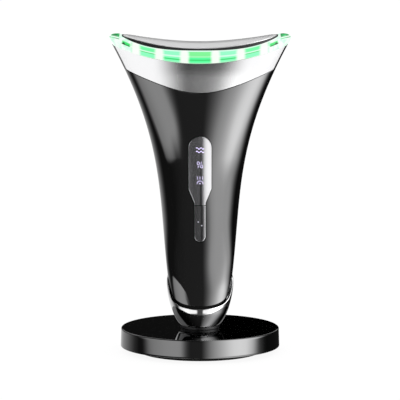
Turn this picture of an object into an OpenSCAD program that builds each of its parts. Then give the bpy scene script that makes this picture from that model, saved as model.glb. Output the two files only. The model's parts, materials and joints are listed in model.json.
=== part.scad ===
// Face and neck toning wand standing on a round charging base.
// Millimetres, +Z up, the wand's front faces -Y, origin at the centre of the base's underside.

/* [Base disc] */
// Outer diameter of the base
base_d = 80; // [76:1:110]
// Height of the base's top face above the table
base_z = 12; // [11.8:0.1:16]
// Height of the shell's lower rim above the table
foot_gap = 2.8; // [0.6:0.1:3]
// Wall of the base shell
base_wall = 2.2; // [1.4:0.1:2.6]
// Radius of the base's top edge
base_edge_r = 0.5; // [0.3:0.1:2]
// Thickness of the cover under the base
cover_t = 1.8; // [1.4:0.1:2.2]
// Width of the rubber foot ring
foot_w = 3; // [2:0.5:5]
// Distance of the foot ring from the cover's edge
foot_inset = 5.2; // [1:0.1:7]
// Depth of the groove that holds the foot ring
foot_groove = 0.6; // [0.4:0.1:0.8]

/* [Base inside] */
// Thickness of the steel weight
weight_t = 3.2; // [1.5:0.1:3.4]
// Inner diameter of the steel weight
weight_bore_d = 30; // [28:1:34]
// Diameter of the screw posts
base_post_d = 6; // [5:0.5:7]
// Width of the charging board
charge_board_w = 20; // [16:1:24]
// Depth of the charging board
charge_board_l = 11; // [9:1:12]
// Thickness of all circuit boards
board_t = 1.2; // [0.8:0.1:1.4]
// Width of the charging inlet
inlet_w = 9; // [8.6:0.1:10]
// Height of the charging inlet
inlet_h = 3.2; // [3:0.1:3.4]
// Depth of the charging inlet
inlet_l = 7.4; // [6:0.1:9]
// Thickness of the charging inlet's metal sleeve
inlet_t = 0.4; // [0.3:0.05:0.5]

/* [Seat] */
// Diameter of the seat ring that the wand stands on
seat_d = 19.4; // [17:0.1:20]
// Height of the seat ring
seat_h = 1.6; // [1:0.1:2.4]
// Diameter of the spigot that enters the wand
spigot_d = 10; // [9:0.1:10.6]
// Height of the spigot's top above the base
spigot_h = 6.4; // [5.6:0.1:6.6]
// Diameter of the seat's stem in the base shell
stem_d = 12.6; // [11.6:0.1:13.6]
// Play between the spigot and the wand's socket
socket_play = 0.3; // [0.2:0.05:0.4]
// Diameter of the nut that clamps the stem
stem_nut_d = 19; // [17:0.5:20]
// Height of the nut that clamps the stem
stem_nut_h = 2; // [1.5:0.1:2.4]
// Distance of each spring pin from the middle
pin_x = 2.6; // [2.2:0.1:3]
// Diameter of the spring pins
pin_d = 1.5; // [1:0.1:1.7]
// Travel of the spring pins
pin_travel = 0.8; // [0.4:0.1:1]

/* [End cap] */
// Diameter of the cap where it stands on the seat ring
cap_foot_d = 18.4; // [17:0.1:19]
// Widest diameter asked of the cap's lower bulge
cap_low_d = 27.2; // [26.6:0.1:28]
// Widest diameter asked of the cap's upper bulge
cap_high_d = 36.2; // [35.8:0.1:37]
// Depth of the cap, front to back, where its wall turns upright
cap_depth = 31.2; // [30.4:0.1:32]
// Height at which the cap's rounded lower corner ends, front and back
cap_corner_z = 3.2; // [3:0.1:3.6]
// Outward slope of the cap's front and back above that corner
cap_low_slope = 0.16; // [0.12:0.01:0.2]
// Height at which the cap's front and back turn upright
cap_upright_z = 14; // [12.5:0.5:16]
// Diameter at the top of the cap's ears
cap_top_d = 32.8; // [32.6:0.1:33.2]
// Height of the ears above the base
cap_top_z = 26.5; // [26:0.1:28]
// Height of the cap's rim at the front and back
cap_rim_z = 11.3; // [11:0.1:12.5]
// Half width of the ears, halfway down
cap_ear_w = 5.85; // [5.4:0.05:7]
// Gap between the cap's rim and the body's skin at the front and back
cap_gap_z = 1.3; // [0.6:0.1:1.6]
// Gap between the ears' edges and the body's skin
cap_gap_y = 0.5; // [0.3:0.1:0.8]
// Wall of the cap's skirt
cap_wall = 0.9; // [0.7:0.05:1]
// Height of the cap's inner floor
cap_floor_z = 7; // [6.8:0.1:7.4]

/* [Body] */
// Width of the body at its lower end, inside the cap
neck_low_w = 25.8; // [25:0.1:27]
// Width of the body at the cap's ears
neck_w = 32.5; // [32:0.1:33]
// Outward slope of the body's sides at the cap
neck_slope = 0.116; // [0.05:0.01:0.15]
// Outward slope of the body's front and back above the cap
front_slope = 0.04; // [0:0.01:0.08]
// Reach of the lower handle of the side curve
neck_reach = 41; // [34:0.5:46]
// Width of the head over its tips
head_w = 91.3; // [86:0.1:96]
// Height of the tips' widest point above the base
head_z = 146.8; // [144:0.1:152]
// Outward slope of the body's sides at the tips
head_slope = 0.545; // [0.48:0.005:0.6]
// Reach of the upper handle of the side curve
head_reach = 52; // [46:0.5:56]
// Depth of the head, front to back
head_depth = 30.4; // [29:0.1:33]
// Squareness of the grip's outline at its lower end, 2 is an ellipse
grip_square = 2.5; // [2.2:0.05:2.7]
// Squareness of the head's outline, 2 is an ellipse
head_square = 2.5; // [2.2:0.05:2.8]
// Wall of the body shells
shell_wall = 2; // [1.6:0.1:2.2]
// Thickness of the shells where the cap and the collar cover them
shell_end_t = 1.3; // [1:0.05:1.5]
// Height of the shells' lower end above the base
shell_low_z = 9.4; // [9:0.1:10]
// Gap between neighbouring skin pieces
skin_gap = 0.15; // [0.1:0.05:0.2]

/* [Head] */
// Height of the collar's lower edge at the front
split_z = 120.8; // [120:0.1:123]
// Radius-like size of the rounded middle of the collar's lower edge
split_round = 8.2; // [6:0.1:10]
// Rise of the collar's lower edge towards the sides
split_rise = 0.46; // [0.4:0.01:0.5]
// Thickness of the collar
collar_t = 1.5; // [1:0.1:1.6]
// Length of the shells' lip under the collar
lip_h = 4; // [3:0.1:5]
// Height of the light guide's lower edge at the front
guide_low_z = 135.5; // [135:0.1:136]
// Radius of the light guide's lower edge, seen from the front
guide_low_r = 115; // [105:1:130]
// Height of the light guide's upper edge at the front
guide_top_z = 141.9; // [141.6:0.1:142.2]
// Distance from the middle at which the upper edge has risen by 1
guide_rise_x = 21.4; // [21.2:0.1:22]
// Distance from the middle at which the upper edge starts to turn back down
guide_tip_x = 38; // [36:0.5:40]
// Strength of that turn
guide_tip_turn = 0.055; // [0:0.005:0.06]
// Rounding of the light guide's upper outer edge
guide_round = 2.4; // [1.6:0.1:2.6]
// Length of the contact plate
plate_l = 77; // [75:0.1:78]
// Depth of the contact plate
plate_w = 24; // [22:0.1:24.4]
// Height of the contact plate's edge at the front
plate_z = 143.4; // [143.2:0.1:143.8]
// Hollow radius of the contact plate along its length
plate_r = 132; // [128:1:140]
// Thickness of the contact plate at its edge
plate_t = 1.2; // [0.8:0.1:1.4]
// Height of the contact plate's dome
plate_crown = 1.7; // [0.5:0.1:2]
// Width of the gasket round the contact plate
gasket_w = 0.7; // [0.5:0.05:0.75]
// Thickness of the film heater
heater_t = 0.4; // [0.2:0.05:0.5]
// Thickness of the carrier deck
deck_t = 4.4; // [3.6:0.1:4.6]

/* [Controls] */
// Width of the display window
window_w = 11.6; // [11:0.1:12.4]
// Height of the window's top above the base
window_top_z = 99; // [98:0.1:100]
// Height at which the window starts to narrow
window_taper_z = 72.7; // [70:0.1:74]
// Height of the window's lower edge
window_low_z = 64.4; // [64:0.1:66]
// Thickness of the window
window_t = 1.2; // [0.8:0.1:1.5]
// Width of the power button
button_w = 5.6; // [5:0.1:6.2]
// Height of the button's lower end above the base
button_low_z = 45.9; // [44:0.1:47]
// Thickness of the power button
button_t = 1.6; // [1.2:0.1:1.9]
// Travel of the power button
button_travel = 0.4; // [0.2:0.05:0.45]
// Gap round the window and the button
control_gap = 0.25; // [0.2:0.05:0.3]
// Size of the switch under the button
switch_w = 4.5; // [4:0.1:5]

/* [Wand inside] */
// Distance of the frame's front face behind the wand's axis plane, negative is forward
frame_y = -4; // [-4.4:0.1:-3.8]
// Thickness of the inner frame
frame_t = 1.6; // [1.4:0.1:1.8]
// Height of the frame's lower end above the base
frame_low_z = 13; // [12:0.1:14]
// Height of the frame's upper end above the base
frame_top_z = 131; // [129:0.5:131.5]
// Distance of the control board's back from the wand's axis plane
board_y = 10.4; // [10:0.1:10.6]
// Diameter of the battery
battery_d = 14; // [12:0.1:14.2]
// Length of the battery
battery_l = 48; // [40:0.5:50]
// Height of the battery's lower end above the base
battery_z = 21; // [19:0.5:22]
// Diameter of the vibration motor
motor_d = 7; // [6:0.1:8]
// Length of the vibration motor
motor_l = 12; // [10:0.5:14]
// Height of the motor's axis above the base
motor_z = 114; // [112:0.5:116]
// Diameter of the motor's shaft
motor_shaft_d = 1; // [0.8:0.1:1.2]
// Radius of the eccentric weight
eccentric_r = 3; // [2.6:0.1:3.4]
// Width of the eccentric weight
eccentric_w = 3; // [2:0.1:4]
// Radial play of shafts, pins and plungers
running_play = 0.06; // [0.03:0.01:0.08]
// Diameter of the inner leads
lead_d = 1; // [0.6:0.1:1.2]

/* [Hidden] */
$fn = 64;
eps = 0.01;

// Fits
face_gap = 0.05;
fit_gap = 0.1;
loose_gap = 0.3;

// Base
cover_z = foot_gap;
cover_top_z = cover_z + cover_t;
cover_r = base_d / 2 - base_wall - fit_gap;
base_roof_z = base_z - base_wall;
foot_r = cover_r - foot_inset;
weight_play = 1;
weight_r = cover_r - weight_play;
base_screw_d = 2;
base_screw_head_d = 4;
base_screw_head_h = 1;
base_screw_edge = 0.5;
base_screw_r = foot_r - foot_w - base_screw_head_d / 2 - base_screw_edge;
base_screw_angles = [30, 150, 270];
base_magnet_d = 27;
base_magnet_h = 1.6;
stem_tail = 0.6;
stem_low_z = base_roof_z - stem_nut_h - stem_tail;
charge_board_rise = 0.3;
charge_board_z = cover_top_z + charge_board_rise;
charge_board_play = 1;
charge_chip_w = 3;
charge_chip_h = 1;
inlet_set_back = 0.3;
inlet_on_board = 2.5;
inlet_y = base_d / 2 - inlet_set_back;
inlet_mid_z = charge_board_z + board_t + inlet_h / 2 + face_gap / 2;
inlet_tongue_w = 6.4;
inlet_tongue_t = 0.7;
charge_board_y = inlet_y - inlet_l + inlet_on_board - charge_board_l;

// Seat, spring pins and their sleeves
sleeve_d = pin_d + 2 * running_play + 0.7;
sleeve_low_z = stem_low_z - face_gap;
sleeve_top_z = base_z + spigot_h - fit_gap;
contact_z = base_z + cap_floor_z;
pin_top_z = contact_z - face_gap;
pin_guide_l = 3;
pin_l = pin_guide_l + 2 * pin_travel;
pin_low_z = pin_top_z - pin_l;
sleeve_floor_t = 0.4;
pin_spring_low_z = sleeve_low_z + sleeve_floor_t;
pin_spring_turns = 6;
pin_spring_wire = 0.22;
pin_board_lead_y = stem_d / 2 + 1.1;
base_lead_x = 4;

// Body curves, all in heights above the base's top face
neck_z = cap_top_z;
neck_low_reach = 3.2;
neck_low_slope = 0.4;
neck_high_reach = 4.7;
neck_r = neck_w / 2;
head_r = head_w / 2;
grip_bulge_reach = 30;
depth_reach = 40;
square_from_z = 60;
grip_square_z = 48;
grip_round_z = 88;
cap_proud = 0.15;
cap_low_reach = 1.6;
cap_high_reach = 6.2;
cap_round_reach = 4;
cap_front_reach = 3;
cap_corner_reach = 0.8;
cap_corner_r = cap_depth / 2 - 0.98;
cap_upright_slope = 0.04;
cap_inset = cap_wall + 1.5 * fit_gap + cap_proud;
end_inner = cap_inset + shell_end_t;
collar_inset = collar_t + loose_gap;
lip_inner = collar_inset + shell_end_t;

// End cap's insides
cap_magnet_in = spigot_d + 2 * socket_play + 1.6;
cap_magnet_out = cap_magnet_in + 4.4;
cap_magnet_h = 2.6;
holder_t = 1.6;
contact_d = 3;
contact_h = 2.2;

// Head's insides
deck_drop = plate_t + heater_t + fit_gap;
sensor_d = 3;
sensor_h = 1.4;
head_lead_x = 6;
head_lead_y = 4;

// Patches of the skin
plate_shares = [0.8, 0.6, 0.4, 0.2];
skin_cols = 26;
skin_rows = 17;
seam_angle = 0.3;
ring_cols = 56;

// Controls
window_r = window_w / 2;
button_r = button_w / 2;
button_top_z = window_low_z - control_gap;
button_mid_z = (button_top_z + button_low_z) / 2;
window_inset = 0.1;
board_front_y = -board_y - board_t;
icon_zs = [91.6, 84.2, 76.4];
switch_h = 1.2;
switch_front_y = board_front_y - switch_h;
plunger_d = 2;
plunger_l = 0.9;
button_stem_d = 2.6;

// Wand inside
frame_back_y = frame_y + frame_t;
frame_screw_d = 1.6;
frame_screw_head_d = 3;
frame_screw_head_h = 0.8;
frame_screw_zs = [38, 104];
frame_screw_bite = 3;
frame_side_gap = 1.6;
frame_screw_edge = 2.6;
frame_boss_d = 4.4;
frame_corner = 8;
board_post_d = 3.6;
board_low_z = 40;
board_top_z = 101;
board_w = 12;
board_screw_d = 1.2;
board_screw_zs = [44, 97.5];
board_screw_bite = 4;
board_chip_w = 5;
board_chip_z = 60;
board_chip_h = 1.1;
chip_led_w = 1.6;
chip_led_h = 0.6;
light_pipe_l = 2;
light_pipe_d = 5;
light_bore_d = 3.4;
light_plate_w = 8;
light_plate_t = 0.8;
shelf_t = 1.6;
frame_foot_x = 5;
battery_y = frame_back_y + battery_d / 2 + face_gap;
battery_tip_d = 5;
battery_tip_h = 1;
clip_t = 0.9;
clip_w = 5;
clip_zs = [28, 56];
power_board_w = 26;
power_board_l = 24;
power_board_z = 78;
power_board_y = frame_back_y + 2;
power_post_d = 3;
power_post_edge = 3;
power_chip_w = 5;
power_coil_h = 3;
power_can_d = 4;
power_can_h = 4;
motor_bed_t = 1;
motor_y = frame_back_y + motor_d / 2 + motor_bed_t;
motor_bore_l = 4;
eccentric_gap = 0.6;
saddle_wall = 1.2;
saddle_l = motor_l - 4;
carrier_leg_x = 12;
carrier_leg_w = 6;
carrier_screw_z = frame_top_z - carrier_leg_w / 2;
carrier_leg_t = 2;
carrier_l = plate_l - 1;
carrier_w = plate_w - 1.6;
strip_t = 0.4;
led_t = 0.7;
led_w = 3;
led_h = 2;
led_drop = deck_t / 2 + 0.6;
led_xs = [-32, -20.3, -7.75, 7.75, 20.3, 32];
lead_seat = lead_d / 2 + fit_gap;
lead_board_y = power_board_y + board_t + lead_seat;

// ---- curves -------------------------------------------------------------

function bezier(p, t) = let (s = 1 - t)
  s * s * s * p[0] + 3 * s * s * t * p[1] + 3 * s * t * t * p[2] + t * t * t * p[3];

// Parameter at which the height of a curve of [radius, height] points is z
function bezier_t(p, z, low = 0, high = 1, n = 14) = let (mid = (low + high) / 2)
  n == 0 ? mid : bezier(p, mid)[1] < z
    ? bezier_t(p, z, mid, high, n - 1) : bezier_t(p, z, low, mid, n - 1);

function bezier_r(p, z) = bezier(p, bezier_t(p, z))[0];

cap_curve = [
  [cap_foot_d / 2, seat_h],
  [cap_low_d / 2, seat_h + cap_low_reach],
  [cap_high_d / 2, cap_top_z - cap_high_reach],
  [cap_top_d / 2, cap_top_z]
];
cap_corner_curve = [
  [cap_foot_d / 2, seat_h],
  [cap_corner_r - cap_corner_reach, seat_h],
  [cap_corner_r - cap_low_slope * cap_corner_reach, cap_corner_z - cap_corner_reach],
  [cap_corner_r, cap_corner_z]
];
cap_depth_curve = [
  [cap_corner_r, cap_corner_z],
  [cap_corner_r + cap_low_slope * cap_front_reach, cap_corner_z + cap_front_reach],
  [cap_depth / 2 - cap_upright_slope * cap_round_reach, cap_upright_z - cap_round_reach],
  [cap_depth / 2, cap_upright_z]
];
neck_curve = [
  [neck_low_w / 2, shell_low_z],
  [neck_low_w / 2 + neck_low_slope * neck_low_reach, shell_low_z + neck_low_reach],
  [neck_r - neck_slope * neck_high_reach, neck_z - neck_high_reach],
  [neck_r, neck_z]
];
side_curve = [
  [neck_r, neck_z],
  [neck_r + neck_slope * neck_reach, neck_z + neck_reach],
  [head_r - head_slope * head_reach, head_z - head_reach],
  [head_r, head_z]
];
depth_curve = [
  [cap_depth / 2 - cap_proud, cap_upright_z],
  [cap_depth / 2 - cap_proud + front_slope * grip_bulge_reach, cap_upright_z + grip_bulge_reach],
  [head_depth / 2, head_z - depth_reach],
  [head_depth / 2, head_z]
];

// Half width and half depth of the cap and of the body
function cap_a(z) = bezier_r(cap_curve, min(z, cap_top_z));
function cap_b(z) = z < cap_corner_z ? bezier_r(cap_corner_curve, z)
  : z < cap_upright_z ? bezier_r(cap_depth_curve, z) : bezier_r(depth_curve, z) + cap_proud;
function cap_n(z) = 2 + (grip_square - 2) * ease((z - seat_h) / (shell_low_z - seat_h));
function body_a(z) = z < neck_z ? bezier_r(neck_curve, z)
  : z > head_z ? head_r : bezier_r(side_curve, z);
function body_b(z) = z > head_z ? head_depth / 2 : cap_b(z) - cap_proud;
function ease(t) = let (u = min(1, max(0, t))) u * u * (3 - 2 * u);
function body_n(z) = 2 + (head_square - 2) * ease((z - square_from_z) / (head_z - square_from_z))
  + (grip_square - 2) * (1 - ease((z - grip_square_z) / (grip_round_z - grip_square_z)));

function signed_power(v, p) = sign(v) * pow(abs(v), p);
function oval(a, b, n, angle) = [a * signed_power(cos(angle), 2 / n), b * signed_power(sin(angle), 2 / n)];

// Point of the skin at a height, moved inwards by an inset
function skin_point(z, angle, inset = 0) =
  let (p = oval(body_a(z) - inset, body_b(z) - inset, body_n(z), angle)) [p[0], p[1], z];

// Half of the room inside the wand at a height, in a plane y from its middle
function room_x(z, y) = let (n = body_n(z))
  (body_a(z) - lip_inner) * pow(1 - pow(abs(y) / (body_b(z) - lip_inner), n), 1 / n);
function frame_x(z) = room_x(z, frame_y) - frame_side_gap;

// Edge lines: each gives a height, from x or y
function split_line(x) = split_z + sqrt(pow(split_round, 2) + pow(split_rise * x, 2)) - split_round;
function guide_low_line(x) = guide_low_z + x * x / (2 * guide_low_r);
function guide_top_line(x) = guide_top_z + pow(abs(x) / guide_rise_x, 3)
  - guide_tip_turn * pow(max(0, abs(x) - guide_tip_x), 2);
function plate_line(x) = plate_z + x * x / (2 * plate_r);
function ear_line(y, low, high, half_w) = low + (high - low) / (1 + pow(abs(y) / half_w, 4));
function cap_rim_line(y) = ear_line(y, cap_rim_z, cap_top_z, cap_ear_w);
function body_rim_line(y) =
  ear_line(y, cap_rim_z + cap_gap_z, cap_top_z + 2 * skin_gap, cap_ear_w + cap_gap_y);

// Lines that cross the skin: the body's edge along the cap's rim, the collar's lower edge, and
// the light guide's lower and upper edges
RIM = 0;
SPLIT = 1;
GUIDE_LOW = 2;
GUIDE_TOP = 3;
function line_z(line, p) = line == RIM ? body_rim_line(p[1]) : line == SPLIT ? split_line(p[0])
  : line == GUIDE_LOW ? guide_low_line(p[0]) : guide_top_line(p[0]);
line_start = [cap_rim_z + cap_gap_z, split_z, guide_low_z, guide_top_z];

// Height at which a column of the skin, moved in by an inset, crosses a line
function cross_z(line, angle, inset = 0) = cross_from(line, angle, inset, line_start[line], 14);
function cross_from(line, angle, inset, z, n) = n == 0 ? z
  : cross_from(line, angle, inset, (z + line_z(line, skin_point(z, angle, inset))) / 2, n - 1);
function between(a, b, t) = a + (b - a) * t;

// ---- solids from points -------------------------------------------------

function flat(lists) = [for (l = lists) each l];
// Each four-sided face as two triangles
function halves(faces) = flat([for (f = faces) [[f[0], f[1], f[2]], [f[0], f[2], f[3]]]]);

// Closed solid between an outer and an inner grid of points, grid[column][row]
module patch(outer, inner, wrap = false) {
  cols = len(outer);
  rows = len(outer[0]);
  shift = cols * rows;
  last = wrap ? cols - 1 : cols - 2;
  points = concat(flat(outer), flat(inner));
  function at(c, r) = (c % cols) * rows + r;
  outside = [for (c = [0:last]) for (r = [0:rows - 2])
    [at(c, r), at(c, r + 1), at(c + 1, r + 1), at(c + 1, r)]];
  inside = [for (f = outside) [for (k = [3:-1:0]) f[k] + shift]];
  low = [for (c = [0:last]) [at(c, 0), at(c + 1, 0), at(c + 1, 0) + shift, at(c, 0) + shift]];
  high = [for (c = [0:last]) let (r = rows - 1)
    [at(c + 1, r), at(c, r), at(c, r) + shift, at(c + 1, r) + shift]];
  start = [for (r = [0:rows - 2])
    [at(0, r + 1), at(0, r), at(0, r) + shift, at(0, r + 1) + shift]];
  finish = [for (r = [0:rows - 2]) let (c = cols - 1)
    [at(c, r), at(c, r + 1), at(c, r + 1) + shift, at(c, r) + shift]];
  polyhedron(points, halves(concat(outside, inside, low, high, wrap ? [] : concat(start, finish))), 4);
}

// Closed solid from rings of points, the first and last closed by a fan
module stack(rings) {
  n = len(rings[0]);
  m = len(rings);
  function middle(ring) = [for (k = [0:2]) [for (p = ring) p[k]] * [for (p = ring) 1 / n]];
  points = concat(flat(rings), [middle(rings[0]), middle(rings[m - 1])]);
  walls = [for (r = [0:m - 2]) for (i = [0:n - 1]) let (j = (i + 1) % n)
    [r * n + i, (r + 1) * n + i, (r + 1) * n + j, r * n + j]];
  first = [for (i = [0:n - 1]) [i, (i + 1) % n, m * n]];
  end = [for (i = [0:n - 1]) [(m - 1) * n + (i + 1) % n, (m - 1) * n + i, m * n + 1]];
  polyhedron(points, concat(halves(walls), first, end), 4);
}

// Round tube along a line of points, with a ring at each
module tube(path, d, sides = 8, side = [1, 0.02, 0.03]) {
  m = len(path);
  function unit(v) = v / norm(v);
  function heading(i) = unit(path[min(i + 1, m - 1)] - path[max(i - 1, 0)]);
  stack([for (i = [0:m - 1]) let (t = heading(i), u = unit(cross(t, side)), v = cross(t, u))
    [for (k = [0:sides - 1]) let (a = 360 * k / sides) path[i] + d / 2 * (cos(a) * u + sin(a) * v)]]);
}

// Smooth route through hand-chosen points
function route(p, steps = 4) = let (m = len(p)) concat(flat([for (i = [0:m - 2])
  let (a = p[max(i - 1, 0)], b = p[i], c = p[i + 1], d = p[min(i + 2, m - 1)])
  [for (k = [0:steps - 1]) let (t = k / steps)
    (2 * b + (c - a) * t + (2 * a - 5 * b + 4 * c - d) * t * t
      + (3 * b - a - 3 * c + d) * t * t * t) / 2]]), [p[m - 1]]);

module coil(r, wire, turns, height, steps = 10) {
  n = turns * steps;
  tube([for (i = [0:n]) let (a = 360 * i / steps)
    [r * cos(a), r * sin(a), wire / 2 + (height - wire) * i / n]], wire, 5, [0, 0, 1]);
}

module ring(d_out, d_in, z, h) {
  translate([0, 0, z]) difference() {
    cylinder(d = d_out, h = h);
    translate([0, 0, -1]) cylinder(d = d_in, h = h + 2);
  }
}

// Cylinder along Y between two depths
module rod_y(x, z, d, y_low, y_high) {
  translate([x, y_low, z]) rotate([-90, 0, 0]) cylinder(d = d, h = y_high - y_low, $fn = 32);
}

module box_y(w, z_low, z_high, y_low, y_high, x = 0) {
  translate([x - w / 2, y_low, z_low]) cube([w, y_high - y_low, z_high - z_low]);
}

// Everything on the wand is drawn with heights above the base's top face
module on_base() {
  translate([0, 0, base_z]) children();
}

// ---- base ---------------------------------------------------------------

module foot_ring() {
  color("#1c1c1e") ring(2 * foot_r, 2 * (foot_r - foot_w), 0, foot_gap + foot_groove - face_gap);
}

module at_base_screws() {
  for (a = base_screw_angles) rotate(a) translate([base_screw_r, 0, 0]) children();
}

module base_cover() {
  color("#242427") difference() {
    translate([0, 0, cover_z]) cylinder(r = cover_r, h = cover_t);
    ring(2 * foot_r + fit_gap, 2 * (foot_r - foot_w) - fit_gap, cover_z - 1, foot_groove + 1);
    at_base_screws() {
      translate([0, 0, cover_z - 1]) cylinder(d = base_screw_d + 2 * fit_gap, h = cover_t + 2, $fn = 32);
      translate([0, 0, cover_z - 1])
        cylinder(d = base_screw_head_d + 2 * fit_gap, h = base_screw_head_h + 1, $fn = 32);
    }
  }
}

module base_screws() {
  color("#8d8f92") at_base_screws() {
    translate([0, 0, cover_z + face_gap])
      cylinder(d = base_screw_head_d, h = base_screw_head_h - face_gap, $fn = 32);
    translate([0, 0, cover_z + base_screw_head_h - eps])
      cylinder(d = base_screw_d, h = base_roof_z - cover_z - base_screw_head_h - 1, $fn = 32);
  }
}

module base_weight() {
  color("#7c7f83") difference() {
    translate([0, 0, cover_top_z + face_gap]) cylinder(r = weight_r, h = weight_t);
    translate([0, 0, cover_top_z - 1]) cylinder(d = weight_bore_d, h = weight_t + 3);
    at_base_screws() translate([0, 0, cover_top_z - 1]) cylinder(d = base_post_d + 1, h = weight_t + 3);
    translate([0, 0, cover_top_z - 1]) linear_extrude(height = weight_t + 3) {
      translate([-charge_board_w / 2 - charge_board_play, charge_board_y - charge_board_play])
        square([charge_board_w + 2 * charge_board_play, base_d]);
      translate([-base_lead_x - lead_d, 0]) square([2 * (base_lead_x + lead_d), charge_board_y]);
    }
  }
}

// Half outline of the base shell, from the rim up and round to the middle
module base_profile() {
  r = base_d / 2;
  edge = base_edge_r;
  polygon(concat(
    [[stem_d / 2 + fit_gap, base_roof_z], [r - base_wall, base_roof_z], [r - base_wall, foot_gap],
     [r - edge / 2, foot_gap], [r, foot_gap + edge / 2]],
    [for (a = [0:15:90]) [r - edge + edge * cos(a), base_z - edge + edge * sin(a)]],
    [[stem_d / 2 + fit_gap, base_z]]));
}

module base_shell() {
  color("#2e3034") difference() {
    union() {
      rotate_extrude($fn = 128) base_profile();
      at_base_screws() difference() {
        translate([0, 0, cover_top_z + face_gap])
          cylinder(d = base_post_d, h = base_roof_z - cover_top_z - face_gap + eps, $fn = 32);
        translate([0, 0, cover_top_z - 1])
          cylinder(d = base_screw_d, h = base_roof_z - cover_top_z + 0.4, $fn = 32);
      }
    }
    translate([0, 0, inlet_mid_z])
      inlet_block(inlet_w + 2 * fit_gap, inlet_h + 2 * fit_gap, inlet_l, base_d / 2 + 1);
  }
}

// Long rounded block along Y, ending at y
module inlet_block(w, h, l, y) {
  translate([0, y, 0]) rotate([90, 0, 0]) linear_extrude(height = l) {
    square([w - h, h], center = true);
    for (s = [-1, 1]) translate([s * (w - h) / 2, 0]) circle(d = h, $fn = 32);
  }
}

module charge_inlet() {
  color("#b9bcc0") translate([0, 0, inlet_mid_z]) {
    difference() {
      inlet_block(inlet_w, inlet_h, inlet_l, inlet_y);
      inlet_block(inlet_w - 2 * inlet_t, inlet_h - 2 * inlet_t, inlet_l - 1, inlet_y + eps);
    }
    translate([-inlet_tongue_w / 2, inlet_y - inlet_l + 0.5, -inlet_tongue_t / 2])
      cube([inlet_tongue_w, inlet_l - 1.5, inlet_tongue_t]);
  }
}

module charge_board() {
  color("#1f5a3a") {
    translate([-charge_board_w / 2, charge_board_y, charge_board_z])
      cube([charge_board_w, charge_board_l, board_t]);
    for (s = [-1, 1])
      translate([s * (charge_board_w / 2 - 2), charge_board_y + charge_board_l / 2, cover_top_z + face_gap])
        cylinder(d = 2, h = charge_board_rise - face_gap + eps, $fn = 32);
    translate([-charge_chip_w / 2, charge_board_y + 1, charge_board_z + board_t - eps])
      cube([charge_chip_w, charge_chip_w, charge_chip_h]);
  }
}

module stem_nut() {
  color("#8d8f92") ring(stem_nut_d, stem_d, base_roof_z - stem_nut_h, stem_nut_h - face_gap);
}

module base_magnet() {
  color("#a7a9ac") ring(base_magnet_d, stem_nut_d + 1, base_roof_z - base_magnet_h, base_magnet_h - face_gap);
}

module seat_ring() {
  color("#141416") difference() {
    union() {
      translate([0, 0, base_z + face_gap / 2]) cylinder(d = seat_d, h = seat_h - face_gap);
      translate([0, 0, stem_low_z]) cylinder(d = stem_d, h = base_z - stem_low_z + 0.5);
      translate([0, 0, base_z]) cylinder(d = spigot_d, h = spigot_h);
    }
    for (s = [-1, 1]) translate([s * pin_x, 0, stem_low_z - 1])
      cylinder(d = sleeve_d + face_gap, h = base_z + spigot_h + 2, $fn = 32);
  }
}

module pin_board() {
  color("#1f5a3a") translate([0, 0, sleeve_low_z - board_t]) cylinder(d = stem_d + 2, h = board_t);
}

module pin_sleeves() {
  color("#c9a24a") for (s = [-1, 1]) translate([s * pin_x, 0, sleeve_low_z]) difference() {
    cylinder(d = sleeve_d, h = sleeve_top_z - sleeve_low_z, $fn = 32);
    translate([0, 0, sleeve_floor_t]) cylinder(d = pin_d + 2 * running_play, h = sleeve_top_z, $fn = 32);
  }
}

module spring_pin(x) {
  color("#d8b45c") translate([x, 0, 0]) intersection() {
    translate([0, 0, pin_low_z]) cylinder(d = pin_d, h = pin_l, $fn = 32);
    union() {
      translate([0, 0, pin_low_z]) cylinder(d = pin_d, h = pin_l - pin_d / 2, $fn = 32);
      translate([0, 0, pin_top_z - pin_d]) sphere(d = 2 * pin_d, $fn = 32);
    }
  }
}

module pin_spring(x) {
  color("#9a9da1") translate([x, 0, pin_spring_low_z + face_gap / 2])
    coil(pin_d / 2 - 0.2, pin_spring_wire, pin_spring_turns, pin_low_z - pin_spring_low_z - face_gap);
}

module base_leads() {
  high = sleeve_low_z - board_t / 2;
  low = charge_board_z + board_t / 2;
  end = charge_board_y - face_gap;
  function at(t, z) = [base_lead_x, between(pin_board_lead_y, end, t), z];
  color("#8a1f1f") for (s = [0, 1]) mirror([s, 0, 0])
    tube(route([at(0, high), at(0.2, high), at(0.45, (low + high) / 2), at(0.7, low), at(1, low)], 3),
      lead_d);
}

// ---- end cap ------------------------------------------------------------

// Side view of the space above the cap's rim
module above_rim(raise = 0) {
  reach = cap_high_d;
  rotate([90, 0, 90]) linear_extrude(height = 3 * reach, center = true)
    polygon(concat([for (y = [-reach / 2:reach / 40:reach / 2]) [y, cap_rim_line(y) + raise]],
      [[reach / 2, 2 * cap_top_z], [-reach / 2, 2 * cap_top_z]]));
}

// Solid inside the cap's skin, moved in by an inset, with its rows closer at the lower end
module cap_solid(inset, z_low, z_high, steps = 20) {
  stack([for (i = [0:steps]) let (z = between(z_low, z_high, pow(i / steps, 1.7)))
    [for (c = [0:ring_cols - 1])
      let (p = oval(cap_a(z) - inset, cap_b(z) - inset, cap_n(z), 360 * c / ring_cols)) [p[0], p[1], z]]]);
}

module end_cap() {
  color("#c9cbd0") on_base() difference() {
    cap_solid(0, seat_h + face_gap / 2, cap_top_z);
    cap_solid(cap_wall, cap_floor_z, cap_top_z + 1);
    above_rim();
    translate([0, 0, seat_h - 1]) cylinder(d = spigot_d + 2 * socket_play, h = cap_floor_z + 2);
    ring(cap_magnet_out, cap_magnet_in, cap_floor_z - cap_magnet_h, cap_magnet_h + 1);
  }
}

module cap_magnet() {
  color("#a7a9ac") on_base() ring(cap_magnet_out - fit_gap, cap_magnet_in + fit_gap,
    cap_floor_z - cap_magnet_h, cap_magnet_h - face_gap);
}

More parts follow.
